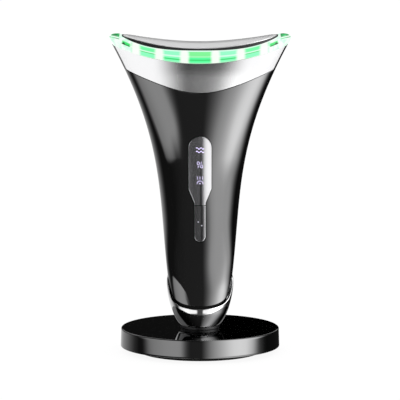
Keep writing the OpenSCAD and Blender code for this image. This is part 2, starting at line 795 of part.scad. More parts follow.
module contact_holder() {
  color("#1c1c1e") on_base() difference() {
    translate([0, 0, cap_floor_z]) cylinder(r = cap_a(cap_floor_z) - cap_wall - fit_gap, h = holder_t);
    for (s = [-1, 1]) translate([s * pin_x, 0, cap_floor_z - 1])
      cylinder(d = contact_d, h = holder_t + 2, $fn = 32);
  }
}

module charge_contacts() {
  color("#d8b45c") on_base() for (s = [-1, 1])
    translate([s * pin_x, 0, cap_floor_z]) cylinder(d = contact_d, h = contact_h, $fn = 32);
}

// ---- body ---------------------------------------------------------------

// Rows of a shell, from its end in the cap to its lip under the collar: each is a zone,
// a share of the zone's height, the outer inset and the inner inset
END = 0;
MAIN = 1;
LIP = 2;
shell_rows = concat(
  [for (t = [0:1 / 3:1]) [END, t, cap_inset, end_inner]],
  [[MAIN, 0, 0, end_inner]],
  [for (k = [1:skin_rows - 1]) [MAIN, k / skin_rows, 0, shell_wall]],
  [[MAIN, 1, 0, lip_inner]],
  [for (t = [0.02, 1]) [LIP, t, collar_inset, lip_inner]]);

function shell_point(row, angle, inset) =
  let (rim = cross_z(RIM, angle, inset), split = cross_z(SPLIT, angle, inset), t = row[1])
  skin_point(row[0] == END ? between(shell_low_z, rim - fit_gap, t)
    : row[0] == MAIN ? between(rim, split, t) : split + lip_h * t, angle, inset);

module half_shell(from) {
  angles = [for (c = [0:skin_cols]) from + seam_angle + (180 - 2 * seam_angle) * c / skin_cols];
  patch([for (a = angles) [for (row = shell_rows) shell_point(row, a, row[2])]],
    [for (a = angles) [for (row = shell_rows) shell_point(row, a, row[3])]]);
}

// Front view of the window and the button, grown by a gap
module window_outline(grow = 0) {
  top_mid = window_top_z - window_r;
  polygon(concat(
    [[-button_r - grow, window_low_z - grow], [button_r + grow, window_low_z - grow],
     [button_r + grow, window_low_z + 1.2], [window_r + grow, window_taper_z]],
    [for (a = [0:7.5:180]) [(window_r + grow) * cos(a), top_mid + (window_r + grow) * sin(a)]],
    [[-window_r - grow, window_taper_z], [-button_r - grow, window_low_z + 1.2]]));
}

module button_outline(grow = 0) {
  low_mid = button_low_z + button_r;
  polygon(concat([[button_r + grow, button_top_z + grow], [-button_r - grow, button_top_z + grow]],
    [for (a = [180:10:360]) [(button_r + grow) * cos(a), low_mid + (button_r + grow) * sin(a)]]));
}

// Prism of a front view between two depths in front of the axis plane
module front_prism(d_low, d_high) {
  translate([0, -d_low, 0]) rotate([90, 0, 0]) linear_extrude(height = d_high - d_low) children();
}

function frame_screw_x(z) = frame_x(z) - frame_screw_edge;

// Rod along Y at each screw that holds the inner frame
module frame_screw_rods(d, y_low, y_high) {
  for (z = frame_screw_zs) for (s = [-1, 1]) rod_y(s * frame_screw_x(z), z, d, y_low, y_high);
}

// How far forward a boss reaches to end inside the shell's wall
function boss_reach(z) = let (a = body_a(z) - shell_wall / 2, b = body_b(z) - shell_wall / 2,
  x = frame_screw_x(z) + frame_boss_d / 2) b * pow(1 - pow(x / a, body_n(z)), 1 / body_n(z));

module front_shell() {
  color("#2b2d31") on_base() difference() {
    union() {
      half_shell(180);
      for (z = frame_screw_zs) for (s = [-1, 1])
        rod_y(s * frame_screw_x(z), z, frame_boss_d, -boss_reach(z), frame_y - face_gap);
    }
    front_prism(5, 30) {
      window_outline(control_gap);
      button_outline(control_gap);
    }
    frame_screw_rods(frame_screw_d, frame_y - frame_screw_bite - loose_gap, 0);
  }
}

module rear_shell() {
  color("#2b2d31") on_base() half_shell(0);
}

ring_angles = [for (c = [0:ring_cols - 1]) 360 * c / ring_cols];

module head_collar() {
  function column(angle, inset) =
    let (low = cross_z(SPLIT, angle, inset) + skin_gap, high = cross_z(GUIDE_LOW, angle, inset))
    [for (t = [0:1 / 6:1]) skin_point(between(low, high, t), angle, inset)];
  color("#c4c6ca") on_base()
    patch([for (a = ring_angles) column(a, 0)], [for (a = ring_angles) column(a, collar_t)], true);
}

module light_guide() {
  inner_l = plate_l / 2 + gasket_w + 1.5 * fit_gap;
  inner_w = plate_w / 2 + gasket_w + 1.5 * fit_gap;
  function column(angle) =
    let (low = cross_z(GUIDE_LOW, angle) + skin_gap, high = cross_z(GUIDE_TOP, angle, guide_round))
    concat([for (t = [0, 0.5, 1]) skin_point(between(low, high - guide_round, t), angle)],
      [for (s = [22.5:22.5:90])
        skin_point(high - guide_round * (1 - sin(s)), angle, guide_round * (1 - cos(s)))]);
  function inner_column(angle) = let (p = oval(inner_l, inner_w, head_square, angle))
    [for (t = [0:1 / 6:1]) [p[0], p[1], between(guide_low_line(p[0]) + skin_gap, guide_top_line(p[0]), t)]];
  color("#9dffc0") on_base()
    patch([for (a = ring_angles) column(a)], [for (a = ring_angles) inner_column(a)], true);
}

// Ring of points on a line of heights, z given as a drop below the plate's edge
function plate_ring(l, w, drop) = [for (a = ring_angles)
  let (p = oval(l / 2, w / 2, head_square, a)) [p[0], p[1], plate_line(p[0]) - drop]];

// Height of the plate's dome at a share of the way from its middle to its edge
function dome(share) = plate_crown * (1 - pow(share, 3));

// Slab that follows the plate's underside, between two drops
module plate_slab(l, w, drop_low, drop_high) {
  inner = [for (k = [len(plate_shares) - 1:-1:0]) plate_shares[k]];
  stack(concat(
    [for (s = inner) plate_ring(plate_l * s, plate_w * s, drop_low)],
    [plate_ring(l, w, drop_low), plate_ring(l, w, drop_high)],
    [for (s = plate_shares) plate_ring(plate_l * s, plate_w * s, drop_high)]));
}

module contact_plate() {
  inner = [for (k = [len(plate_shares) - 1:-1:0]) plate_shares[k]];
  color("#dcdee2") on_base() stack(concat(
    [for (s = inner) plate_ring(plate_l * s, plate_w * s, plate_t)],
    [plate_ring(plate_l - 0.3, plate_w - 0.3, plate_t), plate_ring(plate_l, plate_w, plate_t / 2),
     plate_ring(plate_l - 0.4, plate_w - 0.4, 0.05)],
    [for (s = [0.96, each plate_shares]) plate_ring(plate_l * s, plate_w * s, -dome(s))]));
}

module plate_gasket() {
  in = 2 * face_gap;
  out = 2 * gasket_w;
  rings = [plate_ring(plate_l + in, plate_w + in, 0.25), plate_ring(plate_l + out, plate_w + out, 0.4),
    plate_ring(plate_l + out, plate_w + out, 3), plate_ring(plate_l + in, plate_w + in, 3)];
  color("#0c0c0d") on_base() patch(
    [for (c = [0:ring_cols - 1]) [rings[2][c], rings[1][c]]],
    [for (c = [0:ring_cols - 1]) [rings[3][c], rings[0][c]]], true);
}

module film_heater() {
  color("#b5651d") on_base()
    plate_slab(plate_l - 4, plate_w - 4, plate_t + heater_t - face_gap, plate_t + face_gap);
}

module head_carrier() {
  color("#3a3b3f") on_base() difference() {
    union() {
      plate_slab(carrier_l, carrier_w, deck_drop + deck_t, deck_drop);
      for (s = [-1, 1])
        box_y(carrier_leg_w, carrier_screw_z - carrier_leg_w / 2, plate_z - deck_drop - deck_t + 2,
          frame_back_y + face_gap, frame_back_y + carrier_leg_t, s * carrier_leg_x);
    }
    translate([0, 0, plate_z - deck_drop - sensor_h - fit_gap])
      cylinder(d = sensor_d + 2 * fit_gap, h = 2 * sensor_h, $fn = 32);
    carrier_screw_rods(frame_screw_d, frame_y, frame_back_y + 2 * carrier_leg_t);
    for (s = [-1, 1]) translate([s * head_lead_x, head_lead_y, plate_z - deck_drop - deck_t - 2])
      cylinder(d = lead_d + 2 * loose_gap, h = deck_t + 6, $fn = 32);
  }
}

module temperature_sensor() {
  color("#e8e0c8") on_base() translate([0, 0, plate_z - deck_drop - sensor_h - fit_gap])
    cylinder(d = sensor_d, h = sensor_h, $fn = 32);
}

module guide_strip() {
  drop_low = deck_drop + deck_t - 0.2;
  drop_high = deck_drop + 0.2;
  inner = face_gap * 2;
  outer = 2 * strip_t;
  rings = [for (d = [drop_low, drop_high])
    [for (g = [outer, inner]) plate_ring(carrier_l + g, carrier_w + g, d)]];
  color("#e6e6e2") on_base() patch(
    [for (c = [0:ring_cols - 1]) [rings[0][0][c], rings[1][0][c]]],
    [for (c = [0:ring_cols - 1]) [rings[0][1][c], rings[1][1][c]]], true);
}

// Light-emitting diodes on the strip, along the front and back, and one at each tip
module guide_leds() {
  a = carrier_l / 2 + strip_t;
  b = carrier_w / 2 + strip_t;
  n = head_square;
  function slope(v, half) = signed_power(v, n - 1) / pow(half, n);
  function outward(p) = atan2(slope(p[1], b), slope(p[0], a));
  module led(p) {
    translate([p[0], p[1], plate_line(p[0]) - deck_drop - led_drop]) rotate(outward(p))
      translate([face_gap, -led_w / 2, -led_h / 2]) cube([led_t, led_w, led_h]);
  }
  color("#f4ffe0") on_base() {
    for (x = led_xs) for (s = [-1, 1]) led([x, s * b * pow(1 - pow(abs(x) / a, n), 1 / n)]);
    for (s = [-1, 1]) led([s * a, 0]);
  }
}

// ---- controls -----------------------------------------------------------

// Slab that follows the front of the skin, between two insets and two heights
module front_slab(z_low, z_high, half_angle, inset, t, cols = 12, rows = 12) {
  patch(
    [for (c = [0:cols]) let (a = 270 - half_angle + 2 * half_angle * c / cols)
      [for (r = [0:rows]) skin_point(z_low + (z_high - z_low) * r / rows, a, inset)]],
    [for (c = [0:cols]) let (a = 270 - half_angle + 2 * half_angle * c / cols)
      [for (r = [0:rows]) skin_point(z_low + (z_high - z_low) * r / rows, a, inset + t)]]);
}

module display_window() {
  color("#b8bac0") on_base() intersection() {
    front_slab(window_low_z - 2, window_top_z + 2, 26, window_inset, window_t);
    front_prism(5, 30) window_outline();
  }
}

module power_button() {
  color("#8b8d93") on_base() {
    intersection() {
      front_slab(button_low_z - 2, button_top_z + 2, 14, window_inset, button_t, 6, 8);
      front_prism(5, 30) button_outline();
    }
    rod_y(0, button_mid_z, button_stem_d, -body_b(button_mid_z) + window_inset + button_t / 2,
      switch_front_y - plunger_l / 2);
  }
}

module switch_plunger() {
  color("#3a3b3f") on_base() rod_y(0, button_mid_z, plunger_d,
    switch_front_y - plunger_l / 2, switch_front_y + plunger_l / 2);
}

module button_switch() {
  color("#9a9da1") on_base() difference() {
    box_y(switch_w, button_mid_z - switch_w / 2, button_mid_z + switch_w / 2,
      switch_front_y, board_front_y - face_gap);
    rod_y(0, button_mid_z, plunger_d + 2 * running_play, switch_front_y - 1,
      switch_front_y + plunger_l / 2 + button_travel + face_gap);
  }
}

module light_pipes() {
  front = board_front_y - light_pipe_l;
  color("#d6d8dc") on_base() difference() {
    union() {
      box_y(light_plate_w, icon_zs[2] - light_plate_w / 2, icon_zs[0] + light_plate_w / 2,
        front, front + light_plate_t);
      for (z = icon_zs) rod_y(0, z, light_pipe_d, front + light_plate_t / 2, board_front_y - face_gap);
    }
    for (z = icon_zs) rod_y(0, z, light_bore_d, front - 1, board_front_y + 1);
  }
}

module indicator_leds() {
  color("#f0f0ff") on_base() for (z = icon_zs)
    box_y(chip_led_w, z - chip_led_w / 4, z + chip_led_w / 4,
      board_front_y - chip_led_h, board_front_y - face_gap / 2);
}

module control_board() {
  color("#1f5a3a") on_base() difference() {
    union() {
      box_y(board_w, board_low_z, board_top_z, board_front_y, -board_y - face_gap);
      box_y(board_chip_w, board_chip_z, board_chip_z + board_chip_w,
        -board_y - face_gap - eps, -board_y + board_chip_h);
    }
    for (z = board_screw_zs) rod_y(0, z, board_screw_d + 2 * fit_gap, board_front_y - 1, -board_y + 1);
  }
}

module board_screws() {
  color("#8d8f92") on_base() for (z = board_screw_zs) {
    rod_y(0, z, board_screw_d, board_front_y - eps, -board_y + board_screw_bite);
    rod_y(0, z, 2 * board_screw_d, board_front_y - board_screw_d / 2, board_front_y - face_gap);
  }
}

// ---- wand inside --------------------------------------------------------

// The frame's plate, inside the shells all the way up
module frame_plate() {
  steps = 12;
  corner_z = frame_top_z - frame_corner;
  side = [for (i = [0:steps]) let (z = between(frame_low_z, corner_z, i / steps)) [frame_x(z), z]];
  outline = concat(side, [[frame_x(frame_top_z) - frame_corner, frame_top_z]]);
  translate([0, frame_back_y, 0]) rotate([90, 0, 0]) linear_extrude(height = frame_t)
    polygon(concat(outline, [for (i = [steps + 1:-1:0]) [-outline[i][0], outline[i][1]]]));
}

module inner_frame() {
  holder_top_z = cap_floor_z + holder_t + face_gap;
  shelf_y = battery_y + battery_d / 4;
  post_zs = [power_board_z + power_post_edge, power_board_z + power_board_l - power_post_edge];
  color("#3a3b3f") on_base() difference() {
    union() {
      frame_plate();
      for (z = board_screw_zs) rod_y(0, z, board_post_d, -board_y, frame_y + eps);
      for (s = [-1, 1]) for (z = post_zs)
        rod_y(s * (power_board_w / 2 - power_post_edge), z, power_post_d,
          frame_back_y - eps, power_board_y - face_gap);
      box_y(battery_d, frame_low_z, frame_low_z + shelf_t, frame_back_y - eps, shelf_y);
      box_y(battery_d, battery_z - shelf_t, battery_z - face_gap, frame_back_y - eps, shelf_y);
      for (s = [-1, 1])
        box_y(shelf_t, holder_top_z, frame_low_z + shelf_t, frame_y, frame_back_y, s * frame_foot_x);
    }
    for (z = board_screw_zs)
      rod_y(0, z, board_screw_d, -board_y - 1, -board_y + board_screw_bite + loose_gap);
    frame_screw_rods(frame_screw_d + 2 * fit_gap, frame_y - 1, frame_back_y + 1);
    carrier_screw_rods(frame_screw_d + 2 * fit_gap, frame_y - 1, frame_back_y + 1);
  }
}

module frame_screws() {
  color("#8d8f92") on_base() {
    frame_screw_rods(frame_screw_d, frame_y - frame_screw_bite, frame_back_y + face_gap + eps);
    frame_screw_rods(frame_screw_head_d, frame_back_y + face_gap,
      frame_back_y + face_gap + frame_screw_head_h);
  }
}

// Rod along Y at each screw that holds the head carrier's legs
module carrier_screw_rods(d, y_low, y_high) {
  for (s = [-1, 1]) rod_y(s * carrier_leg_x, carrier_screw_z, d, y_low, y_high);
}

module carrier_screws() {
  color("#8d8f92") on_base() {
    carrier_screw_rods(frame_screw_d, frame_y - face_gap - eps, frame_back_y + carrier_leg_t);
    carrier_screw_rods(frame_screw_head_d, frame_y - face_gap - frame_screw_head_h, frame_y - face_gap);
  }
}

module battery() {
  color("#4b6fa8") on_base() translate([0, battery_y, battery_z]) {
    cylinder(d = battery_d, h = battery_l);
    cylinder(d = battery_tip_d, h = battery_l + battery_tip_h, $fn = 32);
  }
}

module battery_clips() {
  r_in = battery_d / 2 + face_gap;
  color("#d8d8d4") on_base() for (z = clip_zs) translate([0, 0, z]) difference() {
    union() {
      translate([0, battery_y, 0]) cylinder(r = r_in + clip_t, h = clip_w);
      translate([-r_in - clip_t, frame_back_y + face_gap, 0])
        cube([2 * (r_in + clip_t), battery_y - frame_back_y - face_gap, clip_w]);
    }
    translate([0, battery_y, -1]) cylinder(r = r_in, h = clip_w + 2);
    translate([-r_in, frame_back_y - battery_d, -1])
      cube([2 * r_in, battery_y - frame_back_y + battery_d, clip_w + 2]);
    translate([-battery_d, frame_back_y - battery_d + face_gap, -1])
      cube([2 * battery_d, battery_d, clip_w + 2]);
  }
}

module power_board() {
  back = power_board_y + board_t;
  mid = power_board_z + power_board_l / 2;
  color("#1f5a3a") on_base() {
    box_y(power_board_w, power_board_z, power_board_z + power_board_l, power_board_y, back);
    box_y(power_chip_w, mid, mid + power_chip_w, back - eps, back + 1, -power_board_w / 4);
    box_y(power_chip_w, mid - power_chip_w, mid, back - eps, back + power_coil_h, power_board_w / 4);
    for (s = [-1, 1]) rod_y(s * power_board_w / 3, power_board_z + power_board_l - power_chip_w / 2 - 1,
      power_can_d, back - eps, back + power_can_h);
  }
}

module motor_place() {
  translate([0, motor_y, motor_z]) rotate([0, 90, 0]) children();
}

module vibration_motor() {
  color("#b9bcc0") on_base() motor_place() difference() {
    translate([0, 0, -motor_l / 2]) cylinder(d = motor_d, h = motor_l);
    translate([0, 0, motor_l / 2 - motor_bore_l])
      cylinder(d = motor_shaft_d + 2 * running_play, h = motor_bore_l + 1, $fn = 32);
  }
}

module motor_rotor() {
  color("#7c7f83") on_base() motor_place() {
    translate([0, 0, motor_l / 2 - motor_bore_l + fit_gap])
      cylinder(d = motor_shaft_d, h = motor_bore_l - fit_gap + eccentric_gap + eccentric_w, $fn = 32);
    translate([0, 0, motor_l / 2 + eccentric_gap]) difference() {
      cylinder(r = eccentric_r, h = eccentric_w);
      translate([-2 * eccentric_r, motor_shaft_d / 2 + fit_gap, -1])
        cube([4 * eccentric_r, 2 * eccentric_r, eccentric_w + 2]);
    }
  }
}

module motor_saddle() {
  color("#d8d8d4") on_base() difference() {
    box_y(saddle_l, motor_z - motor_d / 2 - saddle_wall, motor_z + motor_d / 2 + saddle_wall,
      frame_back_y + face_gap, motor_y + saddle_wall / 2, saddle_l / 2 - motor_l / 2 + 1);
    motor_place() translate([0, 0, -motor_l]) cylinder(d = motor_d + 2 * face_gap, h = 2 * motor_l);
  }
}

module battery_leads() {
  top = battery_z + battery_l + battery_tip_h;
  color("#a02020") on_base() for (s = [0, 1]) mirror([s, 0, 0]) tube(route([
    [2, battery_y + 1, top + lead_seat], [2, battery_y + 1, top + 3],
    [4, lead_board_y + 2, power_board_z - 1], [4, lead_board_y, power_board_z + 4]], 4), lead_d);
}

module head_leads() {
  deck_z = plate_z - deck_drop;
  color("#c8c8c8") on_base() for (s = [0, 1]) mirror([s, 0, 0]) tube(route([
    [power_board_w / 2 - 2, lead_board_y, power_board_z + 14], [11.5, 5, power_board_z + 20],
    [12, 5, motor_z], [8, 5, frame_top_z], [head_lead_x, head_lead_y, deck_z - deck_t],
    [head_lead_x, head_lead_y, deck_z - lead_seat]], 4), lead_d);
}

module charge_leads() {
  low = cap_floor_z + contact_h + lead_seat;
  color("#8a1f1f") on_base() for (s = [0, 1]) mirror([s, 0, 0]) tube(route([
    [pin_x, 0, low], [pin_x + 3, 4, low + 1.2], [8.8, 5.4, frame_low_z], [9.8, 5.4, 22], [10.8, 5, 34],
    [11, 4, 52], [11, 3, 70], [10, lead_board_y, power_board_z + 3]], 4), lead_d);
}

foot_ring();
base_cover();
base_weight();
base_shell();
base_screws();
base_magnet();
charge_board();
charge_inlet();
base_leads();
seat_ring();
stem_nut();
pin_board();
pin_sleeves();
spring_pin(-pin_x);  // spring_pin_left
spring_pin(pin_x);  // spring_pin_right
pin_spring(-pin_x);  // pin_spring_left
pin_spring(pin_x);  // pin_spring_right
end_cap();
cap_magnet();
contact_holder();
charge_contacts();
front_shell();
rear_shell();
head_collar();
light_guide();
contact_plate();
plate_gasket();
film_heater();
temperature_sensor();
head_carrier();
guide_strip();
guide_leds();
display_window();
light_pipes();
indicator_leds();
power_button();
switch_plunger();
button_switch();
control_board();
board_screws();
inner_frame();
frame_screws();
carrier_screws();
battery();
battery_clips();
power_board();
vibration_motor();
motor_rotor();
motor_saddle();
battery_leads();
head_leads();
charge_leads();
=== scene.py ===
"""Looks of the face and neck toning wand on its charging base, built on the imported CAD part.

Sizes are in millimetres. Heights of the wand are above the base's top face, as in the CAD source,
whose curves its skins repeat at a finer step. The wand's front faces -Y.
"""

import json
import math

import bmesh
import bpy
import numpy as np
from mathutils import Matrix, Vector

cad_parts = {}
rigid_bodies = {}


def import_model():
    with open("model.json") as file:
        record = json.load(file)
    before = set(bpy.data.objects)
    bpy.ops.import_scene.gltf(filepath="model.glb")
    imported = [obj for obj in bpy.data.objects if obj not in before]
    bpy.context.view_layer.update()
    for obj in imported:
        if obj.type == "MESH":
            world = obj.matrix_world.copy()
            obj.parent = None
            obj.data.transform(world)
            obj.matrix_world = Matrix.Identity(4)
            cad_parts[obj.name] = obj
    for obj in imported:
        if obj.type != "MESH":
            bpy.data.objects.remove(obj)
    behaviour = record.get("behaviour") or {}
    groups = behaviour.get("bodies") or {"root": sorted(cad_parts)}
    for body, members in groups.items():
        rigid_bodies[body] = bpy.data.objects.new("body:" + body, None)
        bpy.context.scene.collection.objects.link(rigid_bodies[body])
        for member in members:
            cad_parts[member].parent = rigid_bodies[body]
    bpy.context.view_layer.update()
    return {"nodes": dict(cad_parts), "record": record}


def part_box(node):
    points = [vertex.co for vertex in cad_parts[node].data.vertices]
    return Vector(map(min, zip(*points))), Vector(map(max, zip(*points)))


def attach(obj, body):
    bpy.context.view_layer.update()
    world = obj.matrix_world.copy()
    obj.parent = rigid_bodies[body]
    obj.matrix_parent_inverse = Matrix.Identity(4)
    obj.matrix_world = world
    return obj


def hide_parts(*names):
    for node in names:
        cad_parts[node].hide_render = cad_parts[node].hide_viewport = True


MM = 0.001

for old in list(bpy.data.objects):
    bpy.data.objects.remove(old)
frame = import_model()
slot_of = {s["node"]: s["material_slot"] for s in frame["record"]["subparts"]}

# ---- sizes ------------------------------------------------------------------

BASE_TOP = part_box("base_shell")[1].z / MM
BASE_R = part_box("base_shell")[1].x / MM
RIM_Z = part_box("base_shell")[0].z / MM
BASE_WALL = 2.2
BASE_EDGE = 0.5
BASE_DRAFT = math.radians(1.6)
SEAT_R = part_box("seat_ring")[1].x / MM
SEAT_H = 1.6
STEM_R = 6.3
SPIGOT_R, SPIGOT_H = 5.0, 6.4
PIN_X, SLEEVE_R = 2.6, 1.185
FOOT_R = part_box("foot_ring")[1].x / MM
FOOT_W, FOOT_INSET, FOOT_BEND = 3.0, 1.6, 0.4
FOOT_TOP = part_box("foot_ring")[1].z / MM

CAP_TOP, CAP_RIM, CAP_EAR = 26.5, 11.3, 5.85
CAP_GAP_Z, CAP_GAP_Y, RIM_BOW = 1.3, 0.5, 0.011
CAP_UPRIGHT = 14.0
CAP_WALL, CAP_FLOOR, CAP_PROUD = 0.9, 7.0, 0.15
BORE_R = SPIGOT_R + 0.3
CAP_CURVE = [(9.2, 1.6), (13.6, 3.2), (18.1, 20.3), (16.4, 26.5)]
CAP_CORNER = 3.2
CAP_CORNER_CURVE = [(9.2, 1.6), (13.82, 1.6), (14.492, 2.4), (14.62, CAP_CORNER)]
CAP_DEPTH_CURVE = [(14.62, CAP_CORNER), (15.1, 6.2), (15.44, 10.0), (15.6, CAP_UPRIGHT)]

HEAD_Z = 146.8
NECK_CURVE = [(12.9, 9.4), (14.18, 12.6), (15.705, 21.8), (16.25, 26.5)]
SIDE_CURVE = [(16.25, 26.5), (21.006, 67.5), (17.31, 94.8), (45.65, 146.8)]
DEPTH_CURVE = [(15.45, 14.0), (16.65, 44.0), (15.2, 106.8), (15.2, 146.8)]
GRIP_SQUARE, GRIP_SQUARE_TO, GRIP_ROUND_FROM = 2.5, 48.0, 88.0
SQUARE_FROM, HEAD_SQUARE = 60.0, 2.5
SHELL_LOW, SHELL_WALL, SKIN_GAP, LIP_H = 9.4, 2.0, 0.15, 4.0
SHELL_END = 1.3
SEAM = math.radians(0.3)
COLLAR_T = 1.5
SPLIT_LOW, SPLIT_BEND, SPLIT_SLOPE = 120.8, 8.2, 0.46

GUIDE_LOW, GUIDE_BOW = 135.5, 230.0
GUIDE_TOP, GUIDE_RISE, TIP_X, TIP_TURN = 141.9, 21.4, 38.0, 0.055
GUIDE_ROUND = 2.4
PLATE_SINK = 0.45
PLATE_L, PLATE_W, PLATE_T, PLATE_CROWN = 77.0, 24.0, 1.2 - PLATE_SINK, 1.7
PLATE_Z, PLATE_BOW, PLATE_SHOULDER = 143.4 - PLATE_SINK, 264, 1.2
GASKET_W = 0.7
LED_XS = (7.75, 20.3, 32.0)

WINDOW_R, WINDOW_TOP, WINDOW_TAPER, WINDOW_LOW = 5.8, 99.0, 72.7, 64.4
WINDOW_T, CONTROL_INSET, CONTROL_GAP = 1.2, 0.1, 0.25
BUTTON_R, BUTTON_LOW, BUTTON_T = 2.8, 45.9, 1.6
BUTTON_TOP = WINDOW_LOW - CONTROL_GAP
BUTTON_STEM_R = 1.3
ICON_ZS = (92.2, 84.8, 77.0)
SYMBOL_LIFT = 0.03

EDGE = 0.2
COLUMNS = 480

# ---- curves of the skin -------------------------------------------------------


def bezier(p, t):
    s = 1 - t
    return s**3 * p[0] + 3 * s * s * t * p[1] + 3 * s * t * t * p[2] + t**3 * p[3]


def bezier_radius(points, z):
    """Radius of a curve of (radius, height) points at each height."""
    radii, heights = zip(*points)
    low, high = np.zeros_like(z), np.ones_like(z)
    for _ in range(26):
        mid = (low + high) / 2
        below = bezier(heights, mid) < z
        low, high = np.where(below, mid, low), np.where(below, high, mid)
    return bezier(radii, (low + high) / 2)


def cap_half_width(z):
    return bezier_radius(CAP_CURVE, np.minimum(z, CAP_TOP))


def cap_half_depth(z):
    low = np.where(z < CAP_CORNER, bezier_radius(CAP_CORNER_CURVE, z), bezier_radius(CAP_DEPTH_CURVE, z))
    return np.where(z < CAP_UPRIGHT, low, bezier_radius(DEPTH_CURVE, z) + CAP_PROUD)


def half_width(z):
    side = bezier_radius(SIDE_CURVE, np.clip(z, CAP_TOP, HEAD_Z))
    return np.where(z < CAP_TOP, bezier_radius(NECK_CURVE, z), side)


def half_depth(z):
    return cap_half_depth(np.minimum(z, HEAD_Z)) - CAP_PROUD


def ease(z, low, high):
    t = np.clip((z - low) / (high - low), 0, 1)
    return t * t * (3 - 2 * t)


def squareness(z):
    grip = (GRIP_SQUARE - 2) * (1 - ease(z, GRIP_SQUARE_TO, GRIP_ROUND_FROM))
    return 2 + grip + (HEAD_SQUARE - 2) * ease(z, SQUARE_FROM, HEAD_Z)


def cap_squareness(z):
    return 2 + (GRIP_SQUARE - 2) * ease(z, SEAT_H, SHELL_LOW)


def oval(a, b, n, angle):
    c, s = np.cos(angle), np.sin(angle)
    r = (abs(c) ** n + abs(s) ** n) ** (-1 / n)
    return a * r * c, b * r * s


def skin(z, angle, inset=0.0):
    z = np.broadcast_to(np.asarray(z, float), angle.shape)
    x, y = oval(half_width(z) - inset, half_depth(z) - inset, squareness(z), angle)
    return np.stack([x, y, z], -1)


def cap_skin(z, angle, inset=0.0):
    z = np.broadcast_to(np.asarray(z, float), angle.shape)
    x, y = oval(cap_half_width(z) - inset, cap_half_depth(z) - inset, cap_squareness(z), angle)
    return np.stack([x, y, z], -1)


def front_y(x, z, inset=0.0):
    """Depth of the front skin at a place seen from the front."""
    a, b, n = half_width(z) - inset, half_depth(z) - inset, squareness(z)
    return -b * (1 - np.minimum(abs(x) / a, 1) ** n) ** (1 / n)


def rim_bow(p, ear):
    """Share of the ears in the rim's height, and the rise of the rim toward its sides."""
    share = 1 / (1 + (abs(p[..., 1]) / ear) ** 4)
    return share, RIM_BOW * p[..., 0] ** 2 * (1 - share)


def cap_rim_line(p):
    share, bow = rim_bow(p, CAP_EAR)
    return CAP_RIM + (CAP_TOP - CAP_RIM) * share + bow


def body_rim_line(p):
    low = CAP_RIM + CAP_GAP_Z
    share, bow = rim_bow(p, CAP_EAR + CAP_GAP_Y)
    return low + (CAP_TOP + 2 * SKIN_GAP - low) * share + bow


def split_line(p):
    return SPLIT_LOW + np.sqrt(SPLIT_BEND**2 + (SPLIT_SLOPE * p[..., 0]) ** 2) - SPLIT_BEND


def guide_low_line(p):
    return GUIDE_LOW + p[..., 0] ** 2 / GUIDE_BOW


def guide_top_line(p):
    x = abs(p[..., 0])
    return GUIDE_TOP + (x / GUIDE_RISE) ** 3 - TIP_TURN * np.maximum(x - TIP_X, 0) ** 2


def plate_line(x):
    return PLATE_Z + x * x / PLATE_BOW


def crossing(line, angle, inset=0.0, surface=skin):
    """Height at which each column of a surface crosses a line."""
    z = np.full(angle.shape, 20.0 if line in (cap_rim_line, body_rim_line) else 130.0)
    for _ in range(30):
        z = (z + line(surface(z, angle, inset))) / 2
    return z


# ---- meshes -------------------------------------------------------------------


def mesh_object(name, points, faces, sharp=40):
    mesh = bpy.data.meshes.new(name)
    mesh.from_pydata((np.asarray(points, float).reshape(-1, 3) * MM).tolist(), [], faces)
    bm = bmesh.new()
    bm.from_mesh(mesh)
    bmesh.ops.remove_doubles(bm, verts=bm.verts, dist=1e-7)
    bmesh.ops.holes_fill(bm, edges=[e for e in bm.edges if e.is_boundary], sides=0)
    bmesh.ops.recalc_face_normals(bm, faces=bm.faces)
    bm.to_mesh(mesh)
    bm.free()
    mesh.shade_smooth()
    mesh.set_sharp_from_angle(angle=math.radians(sharp))
    obj = bpy.data.objects.new(name, mesh)
    bpy.context.scene.collection.objects.link(obj)
    return obj


def grid_faces(columns, rows, wrap_columns, wrap_rows):
    faces = []
    for c in range(columns - (not wrap_columns)):
        here, there = c * rows, (c + 1) % columns * rows
        for r in range(rows - (not wrap_rows)):
            up = (r + 1) % rows
            faces.append((here + r, here + up, there + up, there + r))
    return faces


def ring_of(name, rows, wrap=True, sharp=40):
    """Solid whose wall is a closed outline of rows in every column, with its ends filled if it is open."""
    points = np.stack(rows, axis=1)
    return mesh_object(name, points, grid_faces(points.shape[0], points.shape[1], wrap, True), sharp)


def lathe(name, profile, steps=256, raise_by=0.0):
    """Solid of revolution about Z from a closed outline of (radius, height) points."""
    angle = np.linspace(0, 2 * math.pi, steps, endpoint=False)
    x, y = np.cos(angle), np.sin(angle)
    rows = [np.stack([r * x, r * y, np.full_like(angle, z + raise_by)], -1) for r, z in profile]
    return ring_of(name, rows, sharp=30)


def arc(radius, z, bend, start, end, steps=6):
    """Profile points of an arc about (radius, z), angles in degrees."""
    return [
        (radius + bend * math.cos(math.radians(a)), z + bend * math.sin(math.radians(a)))
        for a in np.linspace(start, end, steps + 1)
    ]


def outer_rows(low, high, steps, radius=EDGE, inset=0.0):
    """Rows (height, inset) of a band's outside, with both edges rounded."""
    turn = np.radians([0, 22.5, 45, 67.5, 90])
    lower = [(low + radius * (1 - math.cos(a)), inset + radius * (1 - math.sin(a))) for a in turn]
    upper = [(high - radius * (1 - math.cos(a)), inset + radius * (1 - math.sin(a))) for a in turn[::-1]]
    shares = [0.1 / steps, *(k / steps for k in range(1, steps)), 1 - 0.1 / steps]
    middle = [(low + radius + (high - low - 2 * radius) * t, inset) for t in shares]
    return lower + middle + upper


def inner_rows(high, low, steps, inset):
    return [(high + (low - high) * k / steps, inset) for k in range(steps + 1)]


